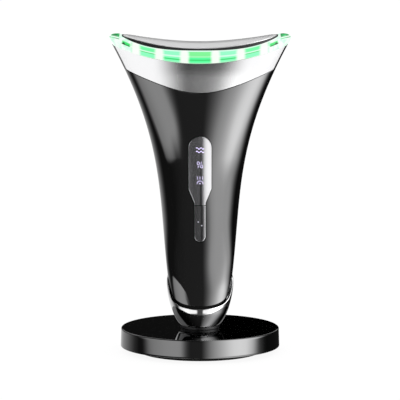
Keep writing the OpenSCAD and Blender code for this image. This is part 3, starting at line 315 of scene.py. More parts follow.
def cut(obj, cutter, sharp=40):
    """Takes the cutter out of the object, for good."""
    modifier = obj.modifiers.new("cut", "BOOLEAN")
    modifier.object, modifier.operation, modifier.solver = cutter, "DIFFERENCE", "EXACT"
    bpy.context.view_layer.update()
    result = bpy.data.meshes.new_from_object(obj.evaluated_get(bpy.context.evaluated_depsgraph_get()))
    obj.modifiers.clear()
    obj.data = result
    bpy.data.objects.remove(cutter)
    result.set_sharp_from_angle(angle=math.radians(sharp))
    return obj


def prism(name, outline, y_low, y_high):
    """Block behind a front view, between two depths."""
    n = len(outline)
    points = [(x, y, z + BASE_TOP) for y in (y_low, y_high) for x, z in outline]
    sides = [(i, (i + 1) % n, (i + 1) % n + n, i + n) for i in range(n)]
    return mesh_object(name, points, sides + [tuple(range(n)), tuple(range(n, 2 * n))])


def on_base(points):
    return points + np.array([0, 0, BASE_TOP])


# ---- node graphs --------------------------------------------------------------


class Graph:
    """A node tree, written as calls that return output sockets."""

    def __init__(self, tree):
        self.tree = tree
        tree.nodes.clear()

    def node(self, kind, inputs=(), **settings):
        node = self.tree.nodes.new("ShaderNode" + kind)
        for key, value in settings.items():
            setattr(node, key, value)
        for key, value in dict(inputs).items():
            self.feed(node.inputs[key], value)
        return node

    def feed(self, socket, value):
        if isinstance(value, bpy.types.NodeSocket):
            self.tree.links.new(value, socket)
        else:
            socket.default_value = value

    def math(self, operation, *values, clamp=False):
        return self.node("Math", dict(enumerate(values)), operation=operation, use_clamp=clamp).outputs[0]

    def step(self, value, low, high):
        """Smooth step from 0 at low to 1 at high, which may be below low."""
        sockets = {"Value": value, "From Min": low, "From Max": high}
        return self.node("MapRange", sockets, interpolation_type="SMOOTHSTEP").outputs[0]

    def bump_at(self, value, centre, width):
        """Bell of height 1 round a centre."""
        t = self.math("DIVIDE", self.math("SUBTRACT", value, centre), width)
        return self.math("EXPONENT", self.math("MULTIPLY", self.math("MULTIPLY", t, t), -1.0))

    def levels(self, value, low, high, stops, peak):
        """Piecewise line through (value, level) stops."""
        share = self.node("MapRange", {"Value": value, "From Min": low, "From Max": high}).outputs[0]
        ramp = self.node("ValToRGB", {"Fac": share})
        elements = ramp.color_ramp.elements
        while len(elements) < len(stops):
            elements.new(0.5)
        for element, (at, level) in zip(elements, stops):
            element.position = (at - low) / (high - low)
            element.color = (*[level / peak] * 3, 1)
        return self.math("MULTIPLY", ramp.outputs["Color"], peak)

    def mix(self, factor, a, b):
        node = self.node("Mix", {"Factor": factor}, data_type="RGBA")
        self.feed(node.inputs[6], a)
        self.feed(node.inputs[7], b)
        return node.outputs[2]

    def product(self, *values):
        """All values multiplied, from the left."""
        total = values[0]
        for value in values[1:]:
            total = self.math("MULTIPLY", total, value)
        return total

    def rest(self, value):
        """One less the value."""
        return self.math("SUBTRACT", 1.0, value)

    def facing(self):
        """Parts of the surface normal along X, Y and Z."""
        normal = self.node("NewGeometry").outputs["Normal"]
        return self.node("SeparateXYZ", {0: normal}).outputs

    def bent(self, nx, ny, nz):
        """Shading normal along those parts."""
        normal = self.node("CombineXYZ", {0: nx, 1: ny, 2: nz}).outputs[0]
        return self.node("VectorMath", {0: normal}, operation="NORMALIZE").outputs[0]

    def place(self):
        """Place on the piece as x, y and z in millimetres."""
        at = self.node("TexCoord").outputs["Object"]
        split = self.node("SeparateXYZ", {0: at})
        return [self.math("MULTIPLY", out, 1 / MM) for out in split.outputs]


DARK_METAL = (0.206, 0.206, 0.207)


def rgb(r, g, b):
    return (r, g, b, 1.0)


def material(name, color, roughness, metallic=0.0, grain=0.0, grain_size=0.5, texture=0.0, shape=None, **sockets):
    """Finish whose roughness wanders by a share given by grain, with a fine relief given by texture.

    A shape is a function of the node tree that returns sockets for the colour and the normal."""
    made = bpy.data.materials.new(name)
    made.use_nodes = True
    g = Graph(made.node_tree)
    at = g.node("TexCoord").outputs["Object"]
    noise = g.node("TexNoise", {"Vector": at, "Scale": 1 / (grain_size * MM), "Detail": 3.0}).outputs["Fac"]
    rough = g.math("MULTIPLY", g.math("ADD", g.math("MULTIPLY", g.math("SUBTRACT", noise, 0.5), grain), 1.0), roughness)
    inputs = {"Base Color": rgb(*color), "Metallic": metallic, "Roughness": rough}
    if texture:
        inputs["Normal"] = g.node("Bump", {"Strength": texture, "Distance": 0.02 * MM, "Height": noise}).outputs[0]
    inputs.update({key.replace("_", " "): value for key, value in sockets.items()})
    if shape:
        inputs.update(shape(g))
    shader = g.node("BsdfPrincipled", inputs)
    g.node("OutputMaterial", {"Surface": shader.outputs[0]})
    return made


def with_painted_white(g, painted_white_share, metal):
    """Sockets of a metal with a painted white reflection laid over it, by share."""
    return {"Base Color": g.mix(painted_white_share, metal, rgb(0.93, 0.93, 0.94)), "Metallic": g.rest(painted_white_share)}


def grip_shape(g):
    """Flatter faces and softer corners toward the grip's lower end, as shading of its skin."""
    x, _, z = g.place()
    z = g.math("SUBTRACT", z, BASE_TOP)
    nx, ny, nz = g.facing()
    slant = g.math("DIVIDE", g.math("ABSOLUTE", nx), g.math("MAXIMUM", g.math("ABSOLUTE", ny), 0.001))
    corner = g.step(slant, 0.15, 0.6)
    middle = g.math("MULTIPLY", g.step(z, 37.0, 19.0), 0.48)
    outer = g.math("MULTIPLY", g.step(z, 58.0, 33.0), 0.45)
    turn = g.math("ADD", middle, g.math("MULTIPLY", g.math("SUBTRACT", outer, middle), corner))
    nx = g.math("MULTIPLY", nx, g.rest(turn))
    raised = g.levels(z, 0, 80, [
        (14, 0.009), (20.5, 0.022), (24.6, 0.044), (28.7, 0.048), (35, 0.048), (47, 0.037), (55, 0.0175), (62, 0.0),
    ], 0.07)
    other = g.levels(z, 0, 80, [
        (14, 0.066), (24, 0.066), (28, 0.055), (36, 0.047), (47, 0.037), (55, 0.0175), (62, 0.0),
    ], 0.07)
    edge = g.levels(z, 0, 80, [(10, 4.4), (14, 5.4), (20, 7.3), (24, 9.8), (28, 13.4), (32, 18.0)], 20.0)
    other = g.math("MULTIPLY", other, g.step(g.math("ADD", x, edge), -1.2, 1.2))
    raised = g.math("ADD", raised, g.math("MULTIPLY", g.math("SUBTRACT", other, raised), g.step(x, 0.5, -2.5)))
    return {"Normal": g.bent(nx, ny, g.math("ADD", nz, raised))}


def cap_shape(g):
    """Upright shading of the cap's lower corner, so that its mirror image in the base is lit as its wall is."""
    z = g.math("SUBTRACT", g.place()[2], BASE_TOP)
    nx, ny, nz = g.facing()
    upright = g.math("MULTIPLY", g.step(z, 2.6, 1.8), g.step(nz, -0.98, -0.9))
    nz = g.math("MULTIPLY", nz, g.rest(g.math("MULTIPLY", upright, 0.93)))
    return {"Normal": g.bent(nx, ny, nz)}


def disc_lean_and_painted_shade(g):
    """Darker metal on the base's top face than on its wall, as painted shade that dims the top's reflections, and a
    slight lean in the wall's shading.
    """
    z = g.place()[2]
    # painted shade: the top face's metal darker than the wall's
    top = g.step(z, BASE_TOP - BASE_EDGE, BASE_TOP - 0.1)
    nx, ny, nz = g.facing()
    tilt = g.math("MULTIPLY", g.step(g.math("ABSOLUTE", nz), 0.6, 0.2), 0.045)
    return {
        "Base Color": g.mix(top, rgb(*DARK_METAL), rgb(0.1, 0.1, 0.101)),
        "Normal": g.bent(nx, ny, g.math("ADD", nz, tilt)),
    }


def collar_painted_light(g):
    """Satin metal with painted light: painted shade darkens it toward the head and at the band's narrow ends, and a
    painted white reflection covers both sides of the front and the back.
    """
    x, _, z = g.place()
    z = g.math("SUBTRACT", z, BASE_TOP)
    # painted white reflection at both sides, fading where the band turns to its narrow ends
    painted_white_share = g.math("MAXIMUM", g.step(x, -5.0, -24.0), g.step(x, 9.0, 28.0))
    _, ny, nz = g.facing()
    ahead = g.math("ADD", g.math("MULTIPLY", g.math("ABSOLUTE", ny), 0.985), g.math("MULTIPLY", nz, 0.171))
    painted_white_share = g.math("MULTIPLY", painted_white_share, g.step(ahead, 0.32, 0.44))
    # painted shade at the band's narrow ends
    shade = g.rest(g.math("MULTIPLY", g.step(g.math("ABSOLUTE", x), 26.0, 30.0), 0.94))
    # painted shade: the metal darker toward the head
    painted_shade_by_height = g.levels(z, 100, 160, [
        (126.5, 0.9), (128.6, 0.85), (130.7, 0.63), (132.7, 0.44), (135.8, 0.33), (140, 0.25),
    ], 1.0)
    metal = g.mix(g.math("MULTIPLY", painted_shade_by_height, shade), rgb(0, 0, 0), rgb(1.0, 1.0, 1.005))
    return with_painted_white(g, painted_white_share, metal)


def pane_painted_reflection(g):
    """Painted reflections on the window's mirror tint: a darker stripe of painted reflection at its middle and a
    painted white reflection toward its right side.
    """
    x, _, z = g.place()
    z = g.math("SUBTRACT", z, BASE_TOP)
    # painted white reflection toward the right side
    painted_white_share = g.levels(x, -10, 10, [
        (0.8, 0.0), (1.2, 0.05), (1.7, 0.2), (2.2, 0.48), (2.7, 0.68), (3.2, 0.8), (4.2, 0.92),
    ], 1.0)
    # painted dark stripe of reflection at the middle, fading toward the top
    deep = g.levels(z, 60, 110, [(64, 0.85), (72, 0.75), (88, 0.4), (94, 0.1)], 1.0)
    painted_dark_stripe = g.math("MULTIPLY", g.bump_at(x, 0.5, 0.6), deep)
    return with_painted_white(g, painted_white_share, g.mix(painted_dark_stripe, rgb(0.8, 0.8, 0.83), rgb(0.02, 0.02, 0.02)))


def button_painted_reflection(g):
    """The window's painted reflection stripe, carried on down the button, with a painted white reflection toward its
    right side.
    """
    x = g.place()[0]
    # painted dark stripe of reflection, carried down from the window
    painted_stripe_tint = g.mix(g.math("MULTIPLY", g.bump_at(x, 0.9, 0.6), 0.65), rgb(0.66, 0.66, 0.68), rgb(0.02, 0.02, 0.02))
    # painted white reflection toward the right side
    painted_white_share = g.levels(x, -10, 10, [(1.5, 0.0), (2.0, 0.12), (2.6, 0.34)], 1.0)
    return with_painted_white(g, painted_white_share, painted_stripe_tint)


def light_guide_material():
    """Clear acrylic, lit green from inside: a bright spot at each light and green streaks between them, a painted
    highlight along its top, and near-white glow on the clear tips as a painted image of the white room seen through
    them.
    """
    made = bpy.data.materials.new("clear_guide")
    made.use_nodes = True
    g = Graph(made.node_tree)
    x, _, z = g.place()
    x = g.math("ABSOLUTE", x)
    low = g.math("ADD", g.math("DIVIDE", g.math("MULTIPLY", x, x), GUIDE_BOW), GUIDE_LOW + BASE_TOP)
    top = g.math("ADD", g.math("POWER", g.math("DIVIDE", x, GUIDE_RISE), 3.0), GUIDE_TOP + BASE_TOP)
    past = g.math("MAXIMUM", g.math("SUBTRACT", x, TIP_X), 0.0)
    top = g.math("SUBTRACT", top, g.math("MULTIPLY", g.math("MULTIPLY", past, past), TIP_TURN))
    share = g.math("DIVIDE", g.math("SUBTRACT", z, low), g.math("SUBTRACT", top, low))
    spots = 0.0
    narrowing = g.math("MULTIPLY", g.step(share, 0.8, 1.0), 0.5)
    for at in LED_XS:
        away = g.math("ADD", g.math("ABSOLUTE", g.math("SUBTRACT", x, at)), narrowing)
        spots = g.math("MAXIMUM", spots, g.step(away, 3.1, 1.1))

    def line(centre, half):
        return g.step(g.math("ABSOLUTE", g.math("SUBTRACT", share, centre)), half + 0.03, half - 0.01)

    white, pale, deep = rgb(0.97, 1.0, 0.94), rgb(0.72, 1.0, 0.84), rgb(0.04, 0.7, 0.17)
    middle, outer, end = g.step(x, 6.3, 5.0), g.step(x, 20.0, 21.0), g.step(x, 33.8, 35.0)
    upper = g.mix(middle, g.mix(outer, rgb(0.31, 0.93, 0.58), rgb(0.17, 0.92, 0.37)), rgb(0.22, 0.88, 0.3))
    lower = g.mix(middle, rgb(0.24, 0.96, 0.5), rgb(0.1, 0.97, 0.35))
    color = g.mix(g.step(share, 0.45, 0.5), lower, upper)
    color = g.mix(g.math("MULTIPLY", line(0.55, 0.05), g.rest(g.math("MULTIPLY", middle, 0.7))), color, pale)
    color = g.mix(g.math("MULTIPLY", line(0.28, 0.05), g.rest(outer)), color, deep)
    color = g.mix(g.math("MULTIPLY", line(0.46, 0.035), outer), color, rgb(0.1, 0.6, 0.18))
    # painted highlight along the top edge
    color = g.mix(g.step(share, 0.9, 0.95), color, pale)
    color = g.mix(g.step(share, 0.1, 0.04), color, rgb(0.5, 1.0, 0.62))
    color = g.mix(spots, color, white)
    at = g.node("TexCoord").outputs["Object"]
    cloud = g.node("TexNoise", {"Vector": at, "Scale": 420.0, "Detail": 2.0}).outputs["Fac"]
    # clear tips: near-white glow painted in place of the white room seen through the acrylic
    clear = g.mix(g.step(cloud, 0.42, 0.66), rgb(0.95, 1.0, 0.97), rgb(0.6, 0.97, 0.76))
    color = g.mix(end, color, clear)
    block = g.product(g.step(x, 34.3, 35.3), g.step(x, 39.2, 38.4), g.step(share, 0.5, 0.56), g.step(share, 0.84, 0.72))
    color = g.mix(block, color, rgb(0.03, 0.74, 0.14))
    edge = g.product(g.step(x, 34.6, 35.4), g.step(x, 39.4, 38.8), line(0.53, 0.045))
    color = g.mix(edge, color, rgb(0.005, 0.2, 0.03))
    spot_x, spot_z = g.math("SUBTRACT", x, 38.0), g.math("MULTIPLY", g.math("SUBTRACT", share, 0.57), 7.0)
    away = g.math("SQRT", g.math("ADD", g.math("MULTIPLY", spot_x, spot_x), g.math("MULTIPLY", spot_z, spot_z)))
    color = g.mix(g.step(away, 0.85, 0.5), color, rgb(0.0, 0.01, 0.0))
    loop = g.math("MULTIPLY", g.step(x, 40.0, 40.6), g.math("MAXIMUM", line(0.8, 0.02), g.step(share, 0.915, 0.94)))
    color = g.mix(loop, color, g.mix(g.step(cloud, 0.45, 0.55), rgb(0.01, 0.2, 0.05), rgb(0.06, 0.62, 0.18)))
    shader = g.node("BsdfPrincipled", {
        "Base Color": rgb(0.02, 0.1, 0.04), "Roughness": 0.12, "IOR": 1.49,
        "Emission Color": color, "Emission Strength": 0.95,
    })
    g.node("OutputMaterial", {"Surface": shader.outputs[0]})
    return made


def lamp_material(name, color, strength):
    return material(name, color, 0.3, Emission_Color=rgb(*color), Emission_Strength=strength)


MATERIALS = {
    "gunmetal": material("gunmetal", DARK_METAL, 0.045, 1.0, grain=0.25, grain_size=4.0, shape=grip_shape),
    "base_gloss": material("base_gloss", DARK_METAL, 0.03, 1.0, grain=0.25, grain_size=4.0, shape=disc_lean_and_painted_shade),
    "polished_chrome": material("polished_chrome", (0.945, 0.945, 0.95), 0.045, 1.0, grain=0.3, grain_size=3.0,
                                shape=cap_shape),
    "silver_collar": material("silver_collar", (0.9, 0.905, 0.92), 0.26, 1.0, grain=0.15, grain_size=0.4, texture=0.02,
                              shape=collar_painted_light),
    "clear_guide": light_guide_material(),
    "window_silver": material("window_silver", (0.82, 0.82, 0.85), 0.17, 0.95, grain=0.2, grain_size=0.8,
                              shape=pane_painted_reflection),
    "button_gloss": material("button_gloss", (0.7, 0.7, 0.73), 0.14, 0.95, grain=0.2, grain_size=0.8,
                             shape=button_painted_reflection),
    "gasket_black": material("gasket_black", (0.012, 0.012, 0.013), 0.38, grain=0.2, texture=0.05),
    "seat_black": material("seat_black", (0.02, 0.02, 0.022), 0.3, grain=0.2, texture=0.05),
    "foot_rubber": material("foot_rubber", (0.006, 0.006, 0.006), 0.75, grain=0.2, texture=0.3,
                            Specular_IOR_Level=0.12),
    "base_underside": material("base_underside", (0.03, 0.03, 0.032), 0.6, grain=0.2, texture=0.3),
    "dark_plastic": material("dark_plastic", (0.035, 0.035, 0.038), 0.5, grain=0.2, texture=0.2),
    "light_plastic": material("light_plastic", (0.72, 0.71, 0.68), 0.45, grain=0.2, texture=0.1),
    "circuit_board": material("circuit_board", (0.012, 0.11, 0.045), 0.35, grain=0.3, texture=0.2),
    "strip_white": material("strip_white", (0.8, 0.8, 0.76), 0.5, grain=0.2),
    "heater_film": material("heater_film", (0.55, 0.2, 0.03), 0.3, grain=0.2),
    "sensor_ceramic": material("sensor_ceramic", (0.82, 0.77, 0.6), 0.35, grain=0.2),
    "led_lens": lamp_material("led_lens", (0.75, 1.0, 0.82), 2.0),
    "battery_wrap": material("battery_wrap", (0.06, 0.13, 0.34), 0.28, grain=0.2),
    "contact_gold": material("contact_gold", (0.86, 0.62, 0.26), 0.16, 1.0, grain=0.3),
    "steel": material("steel", (0.56, 0.57, 0.58), 0.3, 1.0, grain=0.4, grain_size=0.3),
    "magnet_nickel": material("magnet_nickel", (0.64, 0.63, 0.6), 0.2, 1.0, grain=0.3),
    "lead_red": material("lead_red", (0.32, 0.02, 0.02), 0.4, grain=0.2),
    "lead_white": material("lead_white", (0.7, 0.7, 0.68), 0.4, grain=0.2),
}
CONTACT_METAL = material("contact_metal", (0.9, 0.9, 0.905), 0.3, 1.0, grain=0.15, grain_size=0.4, texture=0.02)
SYMBOL_LIGHT = lamp_material("symbol_light", (0.72, 0.64, 1.0), 1.6)
MARK_LIGHT = lamp_material("mark_light", (0.86, 0.85, 1.0), 0.4)


def add_piece(obj, body, slot, *nodes, finish=None):
    """Gives a piece its finish and puts it on its body, in place of the CAD nodes that it stands for."""
    obj.data.materials.clear()
    obj.data.materials.append(finish or MATERIALS[slot])
    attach(obj, body)
    if nodes:
        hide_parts(*nodes)
    return obj


# ---- wand ---------------------------------------------------------------------


def skin_rows(rows, angle, surface=skin):
    return [on_base(surface(z, angle, inset)) for z, inset in rows]


def full_circle(count=COLUMNS):
    return np.linspace(0, 2 * math.pi, count, endpoint=False)


def make_shell(name, start):
    """Half of the grip, from its end inside the cap to its lip under the collar."""
    near = np.radians([0, 0.04, 0.09, 0.16, 0.3])
    inside = np.linspace(SEAM + near[-1], math.pi - SEAM - near[-1], COLUMNS // 2)[1:-1]
    angle = start + np.concatenate([SEAM + near, inside, math.pi - SEAM - near[::-1]])
    rim = crossing(body_rim_line, angle)
    split = crossing(split_line, angle)
    cap_inset = CAP_WALL + SKIN_GAP + CAP_PROUD
    lip_inset = COLLAR_T + 0.3
    rows = inner_rows(np.full_like(rim, SHELL_LOW), rim - 0.1, 6, cap_inset)
    rows += outer_rows(rim, split, 200)
    rows += inner_rows(split + 0.05, split + LIP_H, 3, lip_inset)
    rows += inner_rows(split + LIP_H, split, 3, lip_inset + SHELL_END)
    rows += inner_rows(split - 0.2, rim + 0.3, 60, SHELL_WALL)
    rows += inner_rows(rim, np.full_like(rim, SHELL_LOW), 6, cap_inset + SHELL_END)
    return ring_of(name, skin_rows(rows, angle), wrap=False)


def make_gap_shade():
    """Black sheet in the grip's lower end, put there as painted shade that shows in the gap along the cap's rim."""
    angle = full_circle()
    rim = crossing(body_rim_line, angle) + 0.4
    inset = CAP_WALL + CAP_PROUD
    rows = inner_rows(np.full_like(rim, SHELL_LOW + 0.2), rim, 12, inset)
    rows += inner_rows(rim, SHELL_LOW + 0.2, 12, inset + 0.2)
    # black sheet standing in for the shade in the gap
    gap_shade = ring_of("grip_gap_shade", skin_rows(rows, angle))
    return add_piece(gap_shade, "wand", "gasket_black", finish=MATERIALS["foot_rubber"])


def window_half_width(z):
    top_mid = WINDOW_TOP - WINDOW_R
    taper = BUTTON_R + (WINDOW_R - BUTTON_R) * (z - WINDOW_LOW - 1.2) / (WINDOW_TAPER - WINDOW_LOW - 1.2)
    bow = np.sqrt(np.maximum(WINDOW_R**2 - np.maximum(z - top_mid, 0) ** 2, 0))
    return np.minimum(np.clip(taper, BUTTON_R, WINDOW_R), bow)


def button_half_width(z):
    low_mid = BUTTON_LOW + BUTTON_R
    return np.sqrt(np.maximum(BUTTON_R**2 - np.maximum(low_mid - z, 0) ** 2, 0))


def front_outline(half_width_at, low, high, grow=0.0, steps=160):
    """Closed front view of a shape with that half width, grown all round."""
    turn = np.linspace(0, math.pi, steps)
    z = (low + high) / 2 - (high - low) / 2 * np.cos(turn)
    right = np.stack([half_width_at(z), z], -1)
    outline = np.concatenate([right, right[::-1] * [-1, 1]])
    keep = np.linalg.norm(outline - np.roll(outline, 1, axis=0), axis=1) > 1e-4
    outline = outline[keep]
    along = np.roll(outline, -1, axis=0) - np.roll(outline, 1, axis=0)
    out = np.stack([along[:, 1], -along[:, 0]], -1)
    return outline + grow * out / np.linalg.norm(out, axis=1, keepdims=True)


def front_slab(name, half_width_at, low, high, thickness, edge):
    """Slab that lies in the front skin, with a rounded edge."""
    outline = front_outline(half_width_at, low, high)
    turn = np.linspace(0, math.pi, 161)
    z = (low + high) / 2 - (high - low) / 2 * np.cos(turn)
    share = np.sin(np.linspace(-math.pi / 2, math.pi / 2, 41))
    half = np.maximum(half_width_at(z), 1e-3)
    x = share[None, :] * half[:, None]
    z = np.broadcast_to(z[:, None], x.shape)
    flat = np.stack([x, z], -1).reshape(-1, 2)
    ends = np.roll(outline, -1, axis=0)
    run = ends - outline
    t = np.clip(((flat[:, None] - outline) * run).sum(-1) / (run**2).sum(-1), 0, 1)
    away = np.linalg.norm(flat[:, None] - outline - t[..., None] * run, axis=-1).min(1).reshape(x.shape)
    sink = edge - np.sqrt(np.maximum(edge**2 - np.maximum(edge - away, 0) ** 2, 0))
    front = np.stack([x, front_y(x, z, CONTROL_INSET) + sink, z], -1)
    back = np.stack([x, front_y(x, z, CONTROL_INSET + thickness), z], -1)
    rows, columns = x.shape
    count = rows * columns
    faces = grid_faces(rows, columns, False, False)
    faces += [tuple(i + count for i in face[::-1]) for face in faces]
    border = [*range(columns), *(r * columns + columns - 1 for r in range(1, rows))]
    border += [(rows - 1) * columns + c for c in range(columns - 2, -1, -1)]
    border += [r * columns for r in range(rows - 2, 0, -1)]
    faces += [(a, b, b + count, a + count) for a, b in zip(border, border[1:] + border[:1])]
    return mesh_object(name, on_base(np.concatenate([front.reshape(-1, 3), back.reshape(-1, 3)])), faces)


def stroke(points, width, closed=False):
    """Flat line of a symbol, as a front view of quads: points run along its middle."""
    p = np.asarray(points, float)
    if closed:
        along = np.roll(p, -1, axis=0) - np.roll(p, 1, axis=0)
    else:
        along = np.gradient(p, axis=0)
    side = np.stack([-along[:, 1], along[:, 0]], -1)
    side *= width / 2 / np.linalg.norm(side, axis=1, keepdims=True)
    n = len(p)
    faces = [(i, (i + 1) % n, (i + 1) % n + n, i + n) for i in range(n if closed else n - 1)]
    return np.concatenate([p + side, p - side]), faces


def dot(x, z, radius, steps=24):
    turn = np.linspace(0, 2 * math.pi, steps, endpoint=False)
    ring = np.stack([x + radius * np.cos(turn), z + radius * np.sin(turn)], -1)
    return ring, [tuple(range(steps))]


def symbol(name, parts, body, slot, finish):
    """Lit symbol laid on the front skin."""
    points, faces = [], []
    for part, part_faces in parts:
        start = len(points)
        points += part.tolist()
        faces += [tuple(i + start for i in face) for face in part_faces]
    p = np.asarray(points)
    front = np.stack([p[:, 0], front_y(p[:, 0], p[:, 1], CONTROL_INSET) - SYMBOL_LIFT, p[:, 1]], -1)
    mesh = bpy.data.meshes.new(name)
    mesh.from_pydata((on_base(front) * MM).tolist(), [], faces)
    obj = bpy.data.objects.new(name, mesh)
    bpy.context.scene.collection.objects.link(obj)
    thick = obj.modifiers.new("thickness", "SOLIDIFY")
    thick.thickness, thick.offset = 2 * SYMBOL_LIFT * MM, 0
    return add_piece(obj, body, slot, finish=finish)


def make_symbols():
    """Three programme symbols on the window and two marks on the button."""
    t = np.linspace(-1, 1, 33)
    u = np.linspace(0, 1, 17)
    z_wave, z_pair, z_mound = ICON_ZS
    waves = [
        stroke(np.stack([2.0 * t, z_wave + lift + 0.42 * np.sin(2.0 * math.pi * t)], -1), 0.17)
        for lift in (-0.85, 0.85)
    ]
    symbol("symbol_waves", waves, "wand", "window_silver", SYMBOL_LIGHT)
    turn = 2 * math.pi * u[:-1]
    drops = [
        stroke(np.stack([x + 0.62 * np.cos(turn), z + 0.74 * np.sin(turn)], -1), 0.13, True)
        for x, z in ((-0.85, z_pair + 0.8), (0.8, z_pair - 0.8))
    ]
    drops += [stroke([(0.35, z_pair + 0.5), (0.7, z_pair + 1.0), (0.7, z_pair + 1.6)], 0.13)]
    drops += [stroke([(-0.95, z_pair - 1.6), (-0.95, z_pair - 0.95), (-0.4, z_pair - 0.45)], 0.13)]
    symbol("symbol_pair", drops, "wand", "window_silver", SYMBOL_LIGHT)
    mound = [
        stroke(np.stack([r * np.cos(math.pi * u), z_mound - 1.9 + 1.1 * r * np.sin(math.pi * u)], -1), 0.14)
        for r in (0.35, 1.5)
    ]
    steam = [(-0.12, 1.9), (0.1, 1.35), (-0.1, 0.95), (0.12, 0.5)]
    mound += [stroke([(x + side, z_mound + rise) for side, rise in steam], 0.13) for x in (-1.3, 0.0, 1.3)]
    symbol("symbol_mound", mound, "wand", "window_silver", SYMBOL_LIGHT)
    marks = [dot(-0.9, 56.0, 0.21), dot(0.85, 54.2, 0.21)]
    symbol("button_marks", marks, "button", "button_gloss", MARK_LIGHT)


def make_button():
    slab = front_slab("button_face", button_half_width, BUTTON_LOW, BUTTON_TOP, BUTTON_T, 0.3)
    middle = (BUTTON_TOP + BUTTON_LOW) / 2
    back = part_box("power_button")[1].y / MM
    front = front_y(0.0, np.array(middle), CONTROL_INSET + BUTTON_T / 2)
    turn = np.linspace(0, 2 * math.pi, 32, endpoint=False)
    outline = [(BUTTON_STEM_R * math.cos(a), middle + BUTTON_STEM_R * math.sin(a)) for a in turn]
    stem = prism("button_stem", outline, float(front), back)
    add_piece(slab, "button", "button_gloss", "power_button")
    add_piece(stem, "button", "button_gloss", finish=MATERIALS["dark_plastic"])


def make_grip():
    front = make_shell("grip_front", math.pi)
    window = front_outline(window_half_width, WINDOW_LOW, WINDOW_TOP, CONTROL_GAP)
    button = front_outline(button_half_width, BUTTON_LOW, BUTTON_TOP, CONTROL_GAP)
    cut(front, prism("window_hole", window, -30, -5))
    cut(front, prism("button_hole", button, -30, -5))
    add_piece(front, "wand", "gunmetal", "front_shell")
    add_piece(make_shell("grip_rear", 0.0), "wand", "gunmetal", "rear_shell")
    pane = front_slab("window_pane", window_half_width, WINDOW_LOW, WINDOW_TOP, WINDOW_T, 0.25)
    add_piece(pane, "wand", "window_silver", "display_window")


def make_cap():
    angle = full_circle()
    rim = crossing(cap_rim_line, angle, surface=cap_skin)
    foot = np.full_like(rim, SEAT_H + 0.025)
    lift = np.linspace(0, 1, 120) ** 1.7
    rows = [(foot + (rim - 0.3 - foot) * t, 0.0) for t in lift]
    turn = np.radians([67.5, 45, 22.5, 0])
    rows += [(rim - 0.3 * (1 - math.cos(a)), 0.3 * (1 - math.sin(a))) for a in turn]
    rows += inner_rows(rim, np.full_like(rim, CAP_FLOOR), 30, CAP_WALL)
    walls = skin_rows(rows, angle, cap_skin)
    bore = np.stack([BORE_R * np.cos(angle), BORE_R * np.sin(angle), np.zeros_like(angle)], -1)
    walls += [on_base(bore + [0, 0, z]) for z in (CAP_FLOOR, SEAT_H + 0.025)]
    return add_piece(ring_of("cap_shell", walls), "wand", "polished_chrome", "end_cap")


def make_collar():
    angle = full_circle(2 * COLUMNS)
    low, high = crossing(split_line, angle) + SKIN_GAP, crossing(guide_low_line, angle)
    rows = outer_rows(low, high, 60) + inner_rows(high, low, 6, COLLAR_T)
    return add_piece(ring_of("collar_band", skin_rows(rows, angle)), "wand", "silver_collar", "head_collar")


def make_guide():
    angle = full_circle(2 * COLUMNS)
    low = crossing(guide_low_line, angle) + SKIN_GAP
    high = crossing(guide_top_line, angle, GUIDE_ROUND)
    rows = [(low, EDGE), (low + 0.06, 0.06), (low + EDGE, 0.0)]
    rows += [(low + EDGE + (high - GUIDE_ROUND - low - EDGE) * k / 24, 0.0) for k in range(1, 25)]
    turn = np.radians(np.arange(7.5, 91, 7.5))
    rows += [(high - GUIDE_ROUND * (1 - math.sin(a)), GUIDE_ROUND * (1 - math.cos(a))) for a in turn]
    walls = skin_rows(rows, angle)
    room = GASKET_W + 0.15
    x, y = oval(PLATE_L / 2 + room, PLATE_W / 2 + room, HEAD_SQUARE, angle)
    inner = np.stack([x, y, np.zeros_like(x)], -1)
    top, bottom = guide_top_line(inner), guide_low_line(inner) + SKIN_GAP
    for k in range(9):
        inner[:, 2] = top + (bottom - top) * k / 8
        walls.append(on_base(inner.copy()))
    return add_piece(ring_of("guide_band", walls), "wand", "clear_guide", "light_guide")


def plate_ring(length, width, drop, angle):
    """Ring of points on the contact plate's curved plane, drop below it."""
    x, y = oval(length / 2, width / 2, HEAD_SQUARE, angle)
    return on_base(np.stack([x, y, plate_line(x) - drop], -1))


def make_plate():
    """Domed plate with a rounded shoulder: each row of its outline is an inset and a height above the edge line."""
    angle = full_circle(2 * COLUMNS)
    shoulder = PLATE_SHOULDER
    outline = [(PLATE_W / 2 * (1 - share), -PLATE_T) for share in np.linspace(0.02, 0.98, 12)]
    outline += [(0.1, -PLATE_T), (0.0, 0.1 - PLATE_T), (0.0, -0.5)]
    edge_height = PLATE_CROWN * (1 - (1 - 2 * shoulder / PLATE_W) ** 3)
    for a in np.radians(np.arange(9, 91, 9)):
        outline.append((shoulder * (1 - math.cos(a)), -0.5 + (0.5 + edge_height) * math.sin(a)))
    for share in np.linspace(1 - 2 * shoulder / PLATE_W, 0.02, 40)[1:]:
        outline.append((PLATE_W / 2 * (1 - share), PLATE_CROWN * (1 - share**3)))
    rings = []
    for inset, height in outline:
        share = 1 - 2 * inset / PLATE_W
        rings.append(plate_ring(PLATE_L * share, PLATE_W * share, -height, angle))
    obj = ring_of("plate_face", rings)
    return add_piece(obj, "wand", slot_of["contact_plate"], "contact_plate", finish=CONTACT_METAL)


def make_gasket():
    angle = full_circle(2 * COLUMNS)
    inner, outer = 0.1, 2 * GASKET_W
    outline = [(inner, 2.55), (inner, 0.35), (inner + 0.25, 0.25), (outer - 0.3, 0.3), (outer, 0.5), (outer, 2.55)]
    rings = [plate_ring(PLATE_L + grow, PLATE_W + grow, drop, angle) for grow, drop in outline]
    return add_piece(ring_of("gasket_ring", rings), "wand", "gasket_black", "plate_gasket")


# ---- base ---------------------------------------------------------------------


